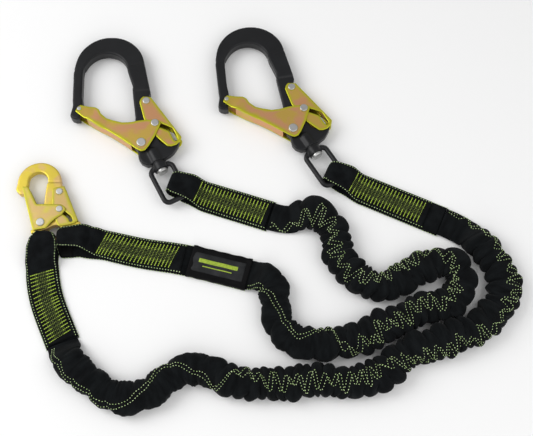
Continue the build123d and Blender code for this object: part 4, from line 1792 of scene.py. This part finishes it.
LEG_2_SEAM = (
    (0, -0.6), (50, -0.7), (110, -0.75), (150, 0.2), (185, 0.75), (230, -0.3), (262, -0.85),
    (285, 0.8), (320, 0.0), (420, -0.1), (480, 0.2), (540, -0.7), (600, -0.6), (660, -0.55),
    (760, -0.6), (820, -0.8), (843, -0.85),
)
BIG_LOBE = (646.0, 42.0, 1.75)
LABEL_ENDS = ((-62, -125), (25, -147))
SNAP_HEIGHTS = ((0, 19.4), (30, 19.0), (46, 12.0), (60, 5.2), (300, 4.9))
NEAR_SNAP_HEIGHTS = ((0, 19.4), (22, 19.0), (40, 12.0), (52, 5.2), (300, 4.9))
HOOK_END = {
    "halves": ((0, 15.0), (8, 18.0), (38, 20.5), (60, 22.3), (90, 22.5)),
    "heights": ((0, 19.9), (29, 19.3), (54, 5.2), (70, 4.9), (200, 4.9)),
    "asides": ((0, 1.5), (20, 2.0), (60, 0.0)),
    "tilt": 3.0,
}


def finishes() -> Paint:
    """Builds every material once.

    Returns:
        The materials, by their short names.
    """
    groups = {"weave": weave_group(), "wear": wear_group()}
    kinds = {
        "black": ForgedBlack(groups),
        "zinc": YellowZinc(groups),
        "zinc_forged": YellowZinc(
            groups, "yellow_zinc_forged", gold=(0.68, 0.46, 0.18), pink=(0.68, 0.53, 0.07),
            rough=0.36, rim=False,
        ),
        "zinc_olive": YellowZinc(
            groups, "yellow_zinc_olive", gold=(0.60, 0.50, 0.10), pink=(0.60, 0.42, 0.17),
            edge_tint_and_highlight=(0.50, 0.45, 0.05),
        ),
        "rivet": BareMetal(groups),
        "wire": BareMetal(groups, "spring_wire", (0.22, 0.22, 0.23), 0.38),
        "webbing": Cloth(groups),
        "jacket": Cloth(groups, "jacket_webbing", yarn=520.0, rough=0.85, sheen=0.04),
        "sleeve": Cloth(
            groups, "sleeve_cloth", (0.0028, 0.0028, 0.0032), (0.007, 0.007, 0.0075),
            rough=0.6, yarn=1500.0, sheen=0.02,
        ),
        "undyed": Cloth(
            groups, "tear_webbing", (0.45, 0.43, 0.38), (0.62, 0.60, 0.54), yarn=500.0, sheen=0.05,
        ),
        "label": Cloth(
            groups, "label_film", (0.018, 0.019, 0.02), (0.035, 0.036, 0.038),
            rough=0.42, yarn=1800.0, sheen=0.0, relief=0.1 * MM,
        ),
        "lime_print": Thread("lime_print", (0.24, 0.34, 0.02), (0.34, 0.46, 0.03)),
        "lime": Thread("lime_thread", (0.34, 0.48, 0.03), (0.55, 0.74, 0.09)),
        "row": Thread("lime_row_thread", (0.20, 0.28, 0.03), (0.40, 0.52, 0.08)),
        "olive": Thread("olive_thread", (0.05, 0.07, 0.015), (0.20, 0.26, 0.06)),
        "pale": Thread("pale_thread", (0.34, 0.50, 0.17), (0.74, 0.92, 0.48)),
    }
    return {name: kind.build() for name, kind in kinds.items()}


def strap_ends(paint: Paint, stitches: StitchTree) -> list[StrapEnd]:
    """The four sewn ends of the two legs.

    Args:
        paint: The materials.
        stitches: The tree that lays stitches.

    Returns:
        The ends, in building order.
    """
    shared = {"finishes": paint, "stitches": stitches}
    snap = shared | {"bends_with": Body.SNAP_HOOK.value}
    hook = shared | HOOK_END
    return [
        StrapEnd(
            "leg_1_snap", ((-246.0, -92.5), (-215, -92.5), (-190, -99), (-130, -113.6), *LABEL_ENDS),
            halves=((0, 13.0), (8, 15.0), (40, 18.4), (56, 20.8), (100, 21.6), (300, 22.5)),
            heights=SNAP_HEIGHTS, tack=(62.0, 172.0), tilt=14.0, flap_end=182.0, lower_shift=-5.0, bulge=2.0,
            lower_halves=((0, 20.0), (8, 22.0), (300, 23.6)), asides=((0, -2.6), (14, -1.9), (40, 0.0)),
            bend_span=(46.0, 14.0), **snap,
        ),
        StrapEnd(
            "leg_1_hook", ((-90.5, -9.5), LEG_1_ROUTE[-1]), tack=(40.0, 147.0), flap_end=152.0,
            bends_with="eye_1", **hook,
        ),
        StrapEnd(
            "leg_2_snap", ((-266.0, -87.5), (-267.6, -112), (-267.6, -137), (-256.5, -184), LEG_2_ROUTE[0]),
            halves=((0, 13.0), (4, 15.5), (12, 19.5), (26, 21.6), (90, 22.2), (300, 22.5)),
            heights=NEAR_SNAP_HEIGHTS, tack=(56.0, 158.0), tilt=-9.0, flap_end=162.0, lower_shift=1.0,
            bulge=2.2, lower_halves=((0, 15.0), (26, 21.6), (60, 23.4), (300, 23.7)),
            bend_span=(30.0, 5.0), **snap,
        ),
        StrapEnd(
            "leg_2_hook", ((139.0, 8.0), LEG_2_ROUTE[-1]), tack=(38.0, 150.0), flap_end=156.0,
            bends_with="eye_2", **hook,
        ),
    ]


def main() -> None:
    """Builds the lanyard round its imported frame."""
    logging.basicConfig(level=logging.INFO, format="%(name)s %(message)s")
    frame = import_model()
    Studio().build()
    paint = finishes()
    stitches = StitchTree()
    legs = (
        Jacket(1, LEG_1_ROUTE, LEG_1_GATHER, LEG_1_SEAM, 0.758, 11, paint, stitches, big=BIG_LOBE),
        Jacket(2, LEG_2_ROUTE, LEG_2_GATHER, LEG_2_SEAM, 0.843, 23, paint, stitches, flat_end=32.0),
    )
    for leg in legs:
        leg.build()
    for end in strap_ends(paint, stitches):
        end.build()
    LabelSleeve(*LABEL_ENDS, paint).build()
    nodes = frame["nodes"]
    for number, place in enumerate(SCAFFOLD_PLACES, 1):
        ScaffoldHook(f"scaffold_hook_{number}", place, nodes, paint, SCAFFOLD_GROOVES, number=number).build()
    SnapHook(
        "snap_hook", SNAP_PLACE, nodes, paint, SNAP_GROOVES, "zinc_forged", "yellow_zinc", "zinc_olive",
    ).build()


if __name__ == "__main__":
    main()
